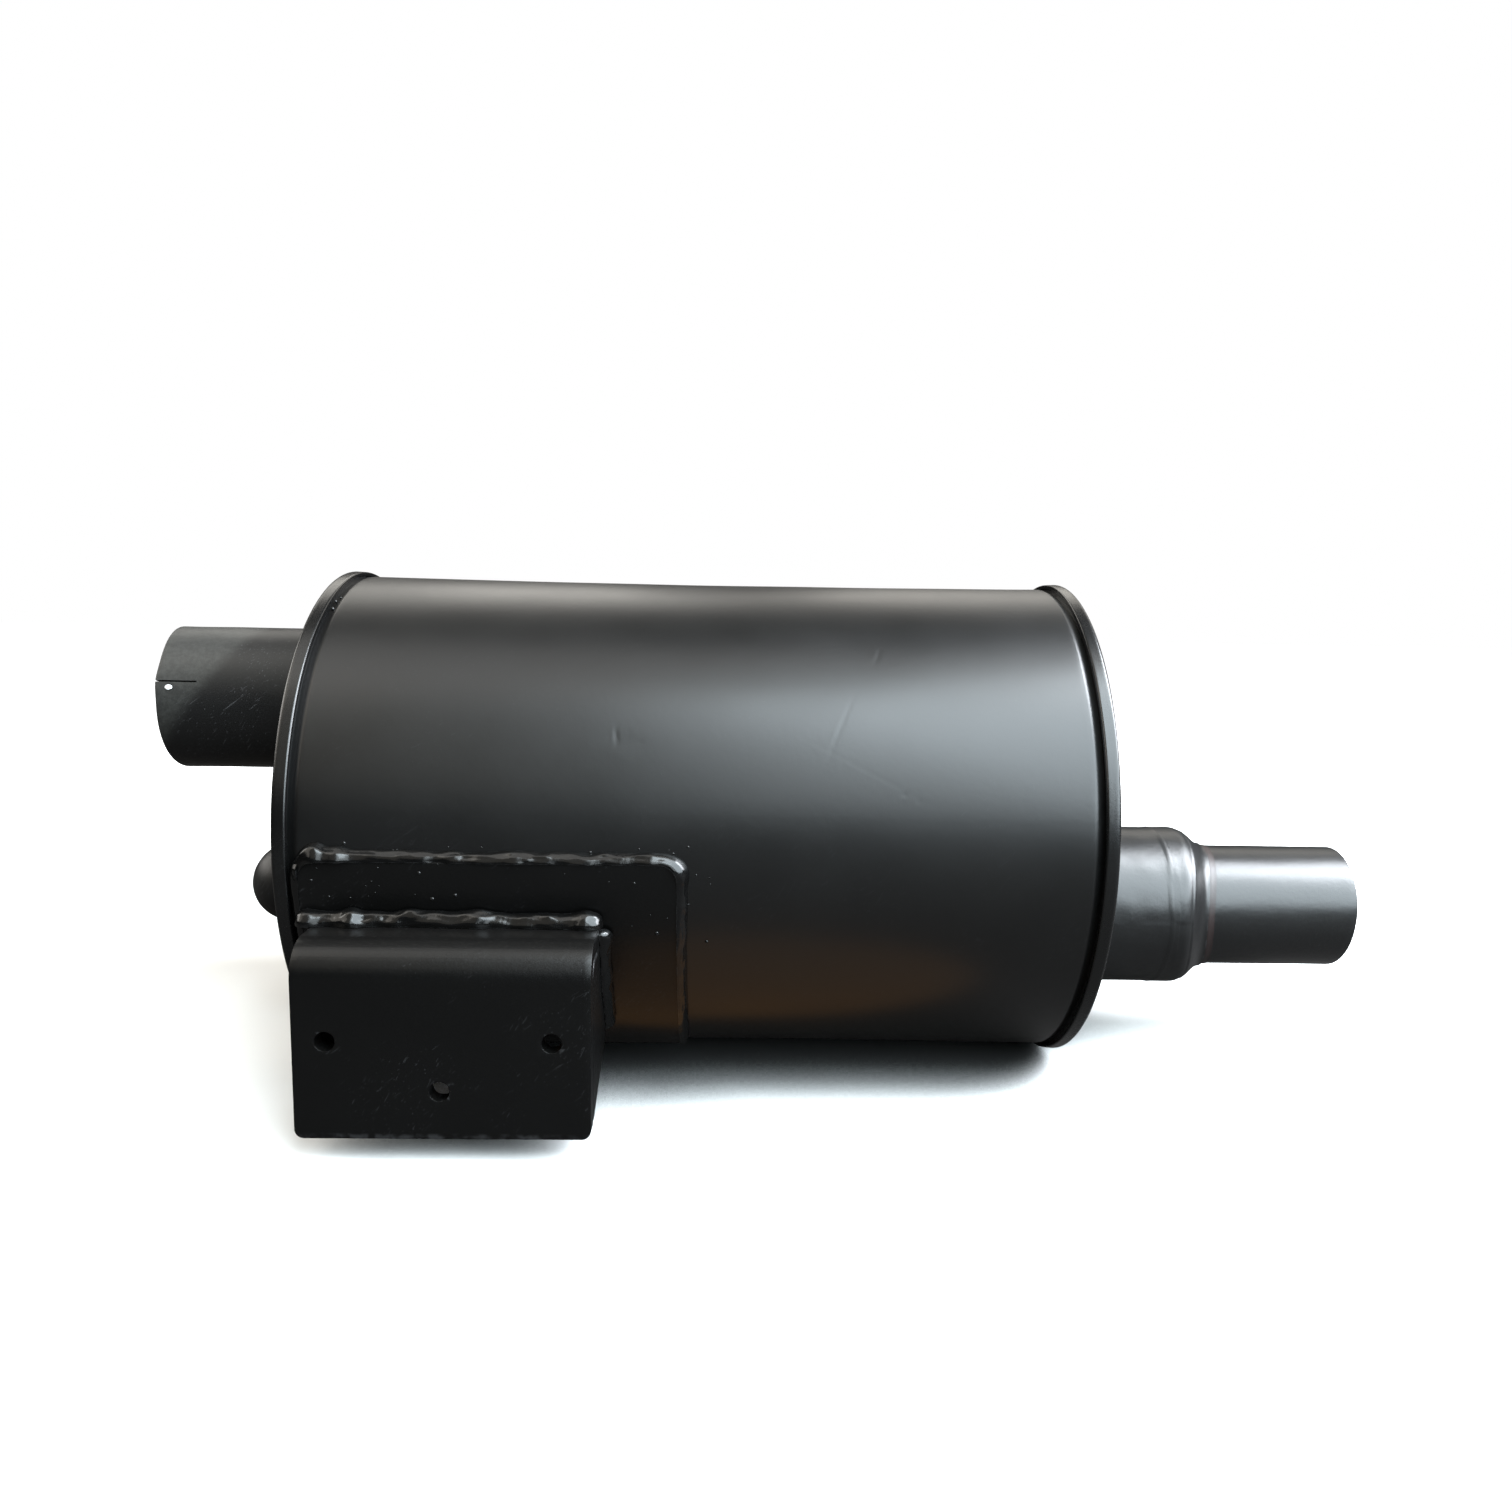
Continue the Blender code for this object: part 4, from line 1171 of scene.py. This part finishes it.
class MUFFLER_OT_mounting_plate(bpy.types.Operator):
    """Build the bent and drilled mounting plate"""

    bl_idname = "muffler.mounting_plate"
    bl_label = "Mounting plate"

    def execute(self, context):
        bracket = settings("muffler_bracket")
        thick, bend = bracket.plate_thickness, bracket.bend_radius
        centre = (FACE_Y + bend, FLANGE_Z - bend)
        stand = saddle_outside() + CLEARANCE
        bottom = PLATE_LOW.z
        outline = [(front_y(FLANGE_Z, stand), FLANGE_Z)]
        outline += arc(*centre, bend, 90, 180, 16)
        outline += [(FACE_Y, bottom), (FACE_Y + thick, bottom)]
        outline += arc(*centre, bend - thick, 180, 90, 12)
        outline += [(front_y(FLANGE_Z - thick, stand), FLANGE_Z - thick)]
        rings = [[(x, y, z) for y, z in outline] for x in (PLATE_LOW.x, PLATE_HIGH.x)]
        plate = lofted("mounting_plate_skin", rings, bracket_paint())
        tool = bmesh.new()
        tool.from_mesh(plate.data)
        corners = [
            edge for edge in tool.edges
            if all(vert.co.z < bottom + 1e-6 for vert in edge.verts)
            and abs(edge.verts[0].co.x - edge.verts[1].co.x) < 1e-6
        ]
        bmesh.ops.bevel(tool, geom=corners, offset=0.003, segments=8, profile=0.5, affect="EDGES")
        tool.to_mesh(plate.data)
        tool.free()
        half = bracket.hole_spacing / 2
        for x, z in ((-half, 0.0), (half, 0.0), (0.0, -bracket.lower_hole_drop)):
            place = (x, FACE_Y + thick / 2, z)
            cut_round(plate, place, "Y", bracket.hole_diameter / 2, thick * 3, 64)
        round_edges(plate, bracket.edge_round, 35.0)
        cut_grid(plate, 0.0025)
        settle(plate, "black_bracket", "mounting_plate")
        return {"FINISHED"}


def gusset_outline():
    """A gusset's outline (y, z), between the plate's two legs and the saddle."""
    bracket = settings("muffler_bracket")
    thick, bend = bracket.plate_thickness, bracket.bend_radius
    front = FACE_Y + thick + CLEARANCE
    under = FLANGE_Z - thick - CLEARANCE
    foot = PLATE_LOW.z + 0.003
    stand = saddle_outside() + CLEARANCE * 1.6
    start = math.asin((SHELL.z - under) / saddle_outside())
    outline = [(front, foot), (front, FLANGE_Z - bend), (FACE_Y + bend, under)]
    outline.append((front_y(under, stand), under))
    for angle in np.linspace(start, GUSSET_END, 17)[1:]:
        outline.append((SHELL.y - stand * math.cos(angle), SHELL.z - stand * math.sin(angle)))
    return outline + [(front + 0.003, foot)]


class MUFFLER_OT_gussets(bpy.types.Operator):
    """Build the two side gussets"""

    bl_idname = "muffler.gussets"
    bl_label = "Gussets"

    def execute(self, context):
        outline = gusset_outline()
        places = (
            ("gusset_inlet_side", PLATE_LOW.x),
            ("gusset_outlet_side", PLATE_HIGH.x - GUSSET_THICKNESS),
        )
        for node, start in places:
            rings = [[(x, y, z) for y, z in outline] for x in (start, start + GUSSET_THICKNESS)]
            gusset = lofted(node + "_skin", rings, bracket_paint())
            round_edges(gusset, settings("muffler_bracket").edge_round * 0.8, 35.0)
            cut_grid(gusset, 0.0030)
            settle(gusset, "black_bracket", node)
        return {"FINISHED"}


# ---------------------------------------------------------------- welds


def uneven_along(around, random, turns):
    """A random height from about -1 to 1 that closes on itself once around is a full turn."""
    total = np.zeros_like(around)
    reach = 0.0
    for turn in range(1, turns + 1):
        weight = random.uniform(0.3, 1.0) / turn ** 0.7
        total += weight * np.sin(turn * around + random.uniform(0, 2 * math.pi))
        reach += weight * weight
    return total / math.sqrt(reach)


BEAD_FULLNESS = 1.80
BEAD_WAVE = 0.0080
BEAD_TAPER = 0.0030
LUMP_HEIGHT = 0.7
LUMP_REACH = 0.0034


def bead(name, corners, along, up, leg_along, leg_up, seed, closed=False, lumps=()):
    """A weld bead that fills the corner between two surfaces.

    corners, along and up give the corner's path and the directions that its two legs take.
    lumps are (distance, size) of the places where the welder stopped and started.
    """
    corners, along, up = (np.asarray(part, float) for part in (corners, along, up))
    steps = np.linalg.norm(np.diff(corners, axis=0), axis=1)
    distance = np.concatenate(([0.0], np.cumsum(steps)))
    pitch = settings("muffler_welds").ripple_pitch
    total = distance[-1] + (steps.mean() if closed else 0.0)
    if closed:
        pitch = total / round(total / pitch)
    around = 2 * math.pi * distance / total
    random = np.random.RandomState(seed)
    turns = max(6, int(total / BEAD_WAVE))
    swell, lean, wander = (uneven_along(around, random, turns) for _ in range(3))
    swell = swell * 0.035
    for where, size in lumps:
        swell = swell + LUMP_HEIGHT * size * np.exp(-((distance - where) / LUMP_REACH) ** 2)
    if not closed:
        ends = np.clip(np.minimum(distance, total - distance) / BEAD_TAPER, 0, 1)
        swell = swell + 0.55 * (np.sqrt(1 - (1 - ends) ** 2) - 1)
    section = np.linspace(0, math.pi / 2, 17)
    across = np.cos(section) ** (2 / BEAD_FULLNESS)
    rise = np.sin(section) ** (2 / BEAD_FULLNESS)
    middle = np.sin(2 * section)[None, :]
    phase = distance[:, None] / pitch + wander[:, None] * 0.6 - 0.75 * middle
    detail = 0.006 * (np.abs(np.sin(math.pi * phase)) ** 0.8 - 0.6)
    detail = detail + 0.020 * np.sin(6 * section[None, :] + (lean * 2.2)[:, None])
    detail = detail + 0.014 * np.sin(10 * section[None, :] + (wander * 3.0)[:, None])
    for _ in range(int(total / 0.0045)):
        where, spot = random.uniform(0, total), random.uniform(0.25, 1.3)
        length, width = random.uniform(0.0007, 0.0026), random.uniform(0.10, 0.22)
        size = random.uniform(-0.05, 0.08)
        down_path = np.exp(-((distance - where) / length) ** 2)[:, None]
        over_face = np.exp(-((section - spot) / width) ** 2)[None, :]
        detail = detail + size * (down_path * over_face)
    scale = 1 + swell[:, None] + detail * middle ** 0.5
    flat = 1 + 0.07 * lean[:, None]
    face = (
        corners[:, None, :]
        + along[:, None, :] * (leg_along * across[None, :] * scale * flat)[:, :, None]
        + up[:, None, :] * (leg_up * rise[None, :] * scale / flat)[:, :, None]
    )
    rings = np.concatenate((face, corners[:, None, :]), axis=1)
    width = len(section) + 1
    material = weld_paint()
    if closed:
        faces = grid_faces(len(rings), width, True, True)
        return add_piece(name, rings.reshape(-1, 3), faces, material, 60.0)
    return lofted(name, rings, material, 60.0)


def ring_path(place, corner_x, radius, outward, steps=320):
    """Corner points and leg directions round a pipe. The bead lies along X towards outward."""
    radial = outward_at(even_angles(steps))
    corners = np.array((corner_x, place.y, place.z)) + radial * radius
    axial = np.broadcast_to((outward, 0.0, 0.0), radial.shape)
    return corners, axial, radial


class MUFFLER_OT_pipe_welds(bpy.types.Operator):
    """Build the beads round the pipes"""

    bl_idname = "muffler.pipe_welds"
    bl_label = "Pipe welds"

    def execute(self, context):
        leg = settings("muffler_welds").pipe_leg
        inlet_face = BODY_START + CAP_RECESS - CLEARANCE
        outlet_face = BODY_END - CAP_RECESS + CLEARANCE
        rings = (
            ("socket_weld", SOCKET, inlet_face, -1.0, 61),
            ("stub_weld", STUB, inlet_face, -1.0, 62),
            ("sleeve_weld", SLEEVE, outlet_face, 1.0, 63),
        )
        for node, place, face, outward, seed in rings:
            path = ring_path(place, face, place.radius + CLEARANCE * 0.5, outward)
            ring = bead(node + "_skin", *path, leg * 0.9, leg * 0.9, seed, closed=True)
            settle(ring, "black_weld", node)
        self.neck_fillet()
        return {"FINISHED"}

    def neck_fillet(self):
        """A small painted-over fillet where the sleeve closes on the spigot."""
        reach, rise = 0.0034, LIP * 0.70
        base = SPIGOT.radius + CLEARANCE * 0.4
        start = SLEEVE.end - CLEARANCE
        outline = []
        for share in np.linspace(0, 1, 10):
            outline.append((start + reach * share, base + rise * (1 - share) ** 2 + 0.0001))
        outline += [(start + reach, base), (start, base)]

        def shape(x, radius, angle):
            groove = 0.0003 * np.exp(-((x - start) / 0.0007) ** 2)
            sunk = np.where(radius > base + 5e-5, np.minimum(groove, radius - base), 0)
            return x - NECK_LEAN * facing_front(angle), radius - sunk

        ring = turned("spigot_weld_skin", outline, even_angles(192), SPIGOT, neck_paint(), shape)
        settle(ring, "black_weld", "spigot_weld")


class MUFFLER_OT_bracket_welds(bpy.types.Operator):
    """Build the beads that hold the saddle, the flange and the gussets"""

    bl_idname = "muffler.bracket_welds"
    bl_label = "Bracket welds"

    def execute(self, context):
        self.saddle_bead()
        self.saddle_side_bead()
        self.flange_bead()
        self.gusset_beads()
        return {"FINISHED"}

    def saddle_bead(self):
        welds = settings("muffler_welds")
        rows = saddle_outline(0.0005)
        x, angle, out_x, out_angle = rows.T
        base = shell_radius(x) + CLEARANCE * 0.5
        corners = on_body(x, angle, base)
        radial = outward_at(angle)
        round_body = np.stack((np.zeros_like(x), np.sin(angle), -np.cos(angle)), axis=-1)
        outward = round_body * out_angle[:, None]
        outward[:, 0] = out_x
        lumps = (
            (0.1010, 0.85), (0.1080, 0.55), (0.168, 0.22), (0.214, 0.18),
            (0.223, 0.40), (0.141, -0.25), (0.152, -0.2),
        )
        saddle = bead("saddle_weld_skin", corners, outward, radial, welds.saddle_leg,
                      welds.saddle_leg * 1.02, 71, lumps=lumps)
        settle(saddle, "black_weld", "saddle_weld")

    def saddle_side_bead(self):
        """A smaller bead down the saddle's left edge, above the flange."""
        leg = settings("muffler_welds").saddle_leg
        end = math.asin((SHELL.z - FLANGE_Z) / saddle_outside()) - 0.02
        angle = np.linspace(SADDLE_TOP + 0.004, end, 90)
        radius = float(shell_radius(np.array(SADDLE_LOW.x)))
        corners = on_body(SADDLE_LOW.x - CLEARANCE * 0.5, angle, radius)
        along = np.broadcast_to((-1.0, 0.0, 0.0), corners.shape)
        side = bead("saddle_weld_side_skin", corners, along, outward_at(angle),
                    leg * 0.6, leg * 0.8, 75, lumps=((0.003, 0.5),))
        settle(side, "black_weld")

    def flange_bead(self):
        leg = settings("muffler_welds").flange_leg
        stand = saddle_outside() + CLEARANCE * 0.5
        level = FLANGE_Z + CLEARANCE * 0.5
        x = np.arange(PLATE_LOW.x - 0.0062, PLATE_HIGH.x + 0.0012, 0.0004)
        corner_y = front_y(level, stand)
        angle = math.asin((SHELL.z - level - leg / 2) / stand)
        corners = np.stack((x, np.full_like(x, corner_y), np.full_like(x, level)), axis=-1)
        along = np.broadcast_to((0.0, -1.0, 0.0), corners.shape)
        up = np.broadcast_to((0.0, -math.sin(angle), math.cos(angle)), corners.shape)
        lumps = (
            (0.004, 0.28), (0.019, 0.45), (0.030, -0.15),
            (0.062, 0.25), (0.074, -0.15), (0.098, 0.35),
        )
        flange = bead("flange_weld_skin", corners, along, up, leg, leg, 72, lumps=lumps)
        settle(flange, "black_weld", "flange_weld")

    def gusset_beads(self):
        leg = settings("muffler_welds").gusset_leg
        stand = saddle_outside() + CLEARANCE * 0.5
        start = math.asin((SHELL.z - FLANGE_Z + 0.001) / stand)
        sides = (
            ("gusset_weld_inlet_side", PLATE_LOW.x - CLEARANCE * 0.5, -1.0, 73),
            ("gusset_weld_outlet_side", PLATE_HIGH.x + CLEARANCE * 0.5, 1.0, 74),
        )
        angle = np.linspace(start, GUSSET_END, 100)
        radial = outward_at(angle)
        for node, x, outward, seed in sides:
            corners = on_body(x, angle, stand)
            along = np.broadcast_to((outward, 0.0, 0.0), corners.shape)
            weld = bead(node + "_skin", corners, along, radial, leg, leg, seed,
                        lumps=((0.002, 0.2),))
            settle(weld, "black_weld", node)


SeamDrop = namedtuple("SeamDrop", "x degrees size")
SEAM_DROPS = (
    SeamDrop(0.0031, -64.0, 0.0006),
    SeamDrop(0.0036, -60.5, 0.0007),
    SeamDrop(0.0040, -66.0, 0.0004),
)


class MUFFLER_OT_spatter(bpy.types.Operator):
    """Scatter small weld drops round the beads"""

    bl_idname = "muffler.spatter"
    bl_label = "Spatter"

    def execute(self, context):
        random = np.random.RandomState(81)
        tool = bmesh.new()
        thickness = settings("muffler_bracket").saddle_thickness
        for _ in range(settings("muffler_welds").spatter_count):
            size = 0.00022 + 0.00050 * random.rand() ** 2.5
            x = random.uniform(SADDLE_LOW.x - 0.004, SADDLE_HIGH.x + 0.012)
            angle = random.uniform(-0.06, 0.22) if random.rand() < 0.7 else random.uniform(0.2, 0.6)
            on_saddle = SADDLE_LOW.x < x < SADDLE_HIGH.x and angle > SADDLE_TOP
            if PLATE_LOW.x - 0.004 < x < PLATE_HIGH.x + 0.004 and angle > 0.15:
                continue
            base = float(shell_radius(np.array(x))) + (thickness + CLEARANCE if on_saddle else 0.0)
            centre = on_body(x, angle, base)
            matrix = (
                Matrix.Translation(Vector(centre))
                @ Matrix.Rotation(angle, 4, "X")
                @ Matrix.Diagonal((1.0, 0.6, random.uniform(0.8, 1.2), 1.0))
            )
            bmesh.ops.create_icosphere(tool, subdivisions=2, radius=size, matrix=matrix)
        groove_floor = SHELL.radius - 0.0006
        for drop in SEAM_DROPS:
            centre = on_body(BODY_START + drop.x + 0.0026, math.radians(drop.degrees), groove_floor)
            matrix = Matrix.Translation(Vector(centre))
            bmesh.ops.create_icosphere(tool, subdivisions=2, radius=drop.size, matrix=matrix)
        drops = object_from("weld_spatter", tool, weld_paint())
        drops.data.shade_smooth()
        settle(drops, "black_weld")
        return {"FINISHED"}


class MUFFLER_OT_inside(bpy.types.Operator):
    """Give the tubes and baffles inside their bare steel"""

    bl_idname = "muffler.inside"
    bl_label = "Inside"

    def execute(self, context):
        inner = ("inlet_tube", "outlet_tube", "crossover_tube_front", "crossover_tube_back",
                 "inlet_baffle", "outlet_baffle")
        for node in inner:
            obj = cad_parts[node]
            obj.data.materials.clear()
            obj.data.materials.append(bare_steel())
        return {"FINISHED"}


# ---------------------------------------------------------------- stage


Panel = namedtuple("Panel", "name azimuth elevation distance width height power colour")
WORLD_DIM = 0.02
PANELS = (
    Panel("window", 46, 37.5, 1.20, 1.15, 1.42, 56.0, (0.81, 0.93, 1.0)),
    Panel("window_side", 84, 38, 1.20, 0.60, 1.00, 47.0, (0.90, 0.94, 1.0)),
    Panel("window_edge", 8, 37, 1.20, 0.36, 1.30, 6.5, (0.86, 0.96, 1.0)),
    Panel("ceiling", -4, 76, 1.20, 1.70, 0.60, 5.6, (1.0, 0.98, 0.94)),
    Panel("room_left", -24, 42, 1.20, 0.70, 1.20, 1.3, (1.0, 0.92, 0.78)),
    Panel("room_far_left", -66, 36, 1.20, 0.70, 0.90, 4.0, (1.0, 0.94, 0.84)),
    Panel("left_end", -98, 24, 1.30, 0.90, 0.60, 7.0, (1.0, 0.97, 0.92)),
    Panel("back_right", 150, 36, 1.30, 0.90, 0.50, 2.3, (1.0, 0.96, 0.88)),
    Panel("back_middle", 178, 44, 1.30, 0.90, 0.50, 1.4, (1.0, 0.96, 0.89)),
    Panel("back_left", -150, 44, 1.30, 0.90, 0.50, 3.6, (1.0, 0.97, 0.90)),
)
WARM_CARD_SIZE = (0.21, 0.09)
WARM_CARD_POWER = 0.014
WARM_CARD_COLOUR = (1.0, 0.47, 0.11)
CAMERA_PLACE = (0.0919, -0.3515, 0.1429)
CAMERA_YAW, CAMERA_PITCH, CAMERA_ROLL = -1.485, -7.735, -1.08


def area_light(name, place, target, width, height, power, colour):
    """A soft light that faces a target and stays out of the camera's sight."""
    data = bpy.data.lights.new(name, "AREA")
    data.shape = "RECTANGLE"
    data.size, data.size_y = width, height
    data.energy = power
    data.color = colour
    light = bpy.data.objects.new(name, data)
    light.location = place
    light.rotation_euler = (Vector(target) - Vector(place)).to_track_quat("-Z", "Y").to_euler()
    light.visible_camera = False
    bpy.context.scene.collection.objects.link(light)
    return light


def seen_directly(tree, seen, otherwise):
    """A value for what the camera sees and another for every other ray."""
    ray = tree.nodes.new("ShaderNodeLightPath").outputs["Is Camera Ray"]
    return calc(tree, "MULTIPLY_ADD", ray, seen - otherwise, otherwise)


def floor_material(colour):
    """Pale matt paper that runs up to white far away, with a painted contact shadow where the
    muffler is close above it. Bounced light finds it dark.
    """
    material, tree, shader = new_material("floor_paper")
    place = object_place(tree)
    grain = ramp(tree, noise_at(tree, place, 60.0, 3.0), 0.3, 0.7, 0.0, 0.3)
    pale = mix_colour(tree, grain, tuple(colour), (0.84, 0.84, 0.84))
    # Painted contact shadow: the paper goes near black where ambient occlusion finds the muffler
    # close above it.
    contact_shadow = tree.nodes.new("ShaderNodeAmbientOcclusion")
    contact_shadow.inputs["Distance"].default_value = 0.06
    open_sky = ramp(tree, contact_shadow.outputs["AO"], 0.15, 0.60)
    pale = mix_colour(tree, open_sky, (0.03, 0.03, 0.03), pale)
    base = mix_colour(tree, seen_directly(tree, 1.0, 0.0), (0.045, 0.042, 0.040), pale)
    tree.links.new(base, shader.inputs["Base Color"])
    distance = tree.nodes.new("ShaderNodeVectorMath")
    distance.operation = "LENGTH"
    tree.links.new(place, distance.inputs[0])
    far = ramp(tree, distance.outputs["Value"], 0.35, 0.95)
    glow = calc(tree, "MULTIPLY", far, seen_directly(tree, 1.0, 0.0))
    white = mix_colour(tree, glow, (0.0, 0.0, 0.0), (1.0, 1.0, 1.0))
    tree.links.new(white, shader.inputs["Emission Color"])
    shader.inputs["Emission Strength"].default_value = 1.0
    shader.inputs["Roughness"].default_value = 0.9
    shader.inputs["Specular IOR Level"].default_value = 0.1
    return material


class MUFFLER_OT_stage(bpy.types.Operator):
    """Lay the floor, hang the lights and place the camera"""

    bl_idname = "muffler.stage"
    bl_label = "Stage"

    def execute(self, context):
        stage = settings("muffler_stage")
        self.lay_floor(stage)
        self.light_world(stage)
        self.hang_lights(stage)
        self.place_camera(stage)
        return {"FINISHED"}

    def lay_floor(self, stage):
        tool = bmesh.new()
        level = INLET_CAP.z - INLET_CAP.radius - 0.0002
        bmesh.ops.create_grid(tool, x_segments=8, y_segments=8, size=6.0,
                              matrix=Matrix.Translation((0.1, 0.0, level)))
        floor = object_from("floor", tool, floor_material(stage.floor))

    def light_world(self, stage):
        world = bpy.data.worlds.new("studio")
        bpy.context.scene.world = world
        world.use_nodes = True
        tree = world.node_tree
        background = tree.nodes["Background"]
        background.inputs["Color"].default_value = (1.0, 1.0, 1.0, 1.0)
        tree.links.new(seen_directly(tree, 1.0, WORLD_DIM), background.inputs["Strength"])

    def hang_lights(self, stage):
        target = Vector(((SHELL.start + SHELL.end) / 2, SHELL.y, SHELL.z))
        for panel in PANELS:
            azimuth, elevation = math.radians(panel.azimuth), math.radians(panel.elevation)
            level = math.cos(elevation)
            x, y = math.sin(azimuth) * level, -math.cos(azimuth) * level
            toward = Vector((x, y, math.sin(elevation)))
            power = panel.power * stage.brightness
            area_light(panel.name, target + toward * panel.distance, target,
                       panel.width, panel.height, power, panel.colour)
        card = Vector((target.x + 0.006, 0.020, INLET_CAP.z - INLET_CAP.radius + 0.001))
        warm = area_light("warm_card", card, card + Vector((0, 0, 1)), *WARM_CARD_SIZE,
                          WARM_CARD_POWER, WARM_CARD_COLOUR)
        warm.data.shape = "ELLIPSE"
        receivers = bpy.data.collections.new("warm_card_receivers")
        for name in ("shell_skin", "saddle_skin", "saddle_weld_skin"):
            receivers.objects.link(bpy.data.objects[name])
        warm.light_linking.receiver_collection = receivers

    def place_camera(self, stage):
        data = bpy.data.cameras.new("camera")
        data.sensor_width = 36.0
        data.lens = stage.lens
        data.clip_start = 0.01
        camera = bpy.data.objects.new("camera", data)
        turn = Matrix.Rotation(math.radians(CAMERA_YAW), 4, "Z")
        turn = turn @ Matrix.Rotation(math.radians(CAMERA_PITCH), 4, "X")
        turn = turn @ Matrix.Rotation(math.radians(CAMERA_ROLL), 4, "Y")
        upright = Matrix.Rotation(math.pi / 2, 4, "X")
        camera.matrix_world = Matrix.Translation(CAMERA_PLACE) @ turn @ upright
        bpy.context.scene.collection.objects.link(camera)
        bpy.context.scene.camera = camera
        bpy.context.scene.view_settings.view_transform = "Standard"


# ---------------------------------------------------------------- panel and run


class MUFFLER_PT_panel(bpy.types.Panel):
    """Lists the muffler's sizes and pieces"""

    bl_idname = "MUFFLER_PT_panel"
    bl_label = "Exhaust Muffler"
    bl_space_type = "VIEW_3D"
    bl_region_type = "UI"
    bl_category = "Muffler"

    def draw(self, context):
        for group in SETTINGS:
            box = self.layout.box()
            owner = getattr(context.scene, group)
            for label in owner.bl_rna.properties.keys():
                if label not in ("rna_type", "name"):
                    box.prop(owner, label)
        column = self.layout.column(align=True)
        for operator in OPERATORS:
            column.operator(operator.bl_idname)


SETTINGS = {
    "muffler_body": MufflerBodySettings,
    "muffler_pipes": MufflerPipeSettings,
    "muffler_bracket": MufflerBracketSettings,
    "muffler_welds": MufflerWeldSettings,
    "muffler_stage": MufflerStageSettings,
}

OPERATORS = (
    MUFFLER_OT_shell,
    MUFFLER_OT_end_caps,
    MUFFLER_OT_inlet_socket,
    MUFFLER_OT_closed_stub,
    MUFFLER_OT_outlet,
    MUFFLER_OT_saddle,
    MUFFLER_OT_mounting_plate,
    MUFFLER_OT_gussets,
    MUFFLER_OT_pipe_welds,
    MUFFLER_OT_bracket_welds,
    MUFFLER_OT_spatter,
    MUFFLER_OT_inside,
    MUFFLER_OT_stage,
)


def register():
    for name, group in SETTINGS.items():
        bpy.utils.register_class(group)
        setattr(bpy.types.Scene, name, PointerProperty(type=group))
    for operator in OPERATORS:
        bpy.utils.register_class(operator)
    bpy.utils.register_class(MUFFLER_PT_panel)


def unregister():
    bpy.utils.unregister_class(MUFFLER_PT_panel)
    for operator in reversed(OPERATORS):
        bpy.utils.unregister_class(operator)
    for name, group in reversed(SETTINGS.items()):
        delattr(bpy.types.Scene, name)
        bpy.utils.unregister_class(group)


def main():
    register()
    for operator in OPERATORS:
        group, name = operator.bl_idname.split(".")
        getattr(getattr(bpy.ops, group), name)()


if __name__ == "__main__":
    main()
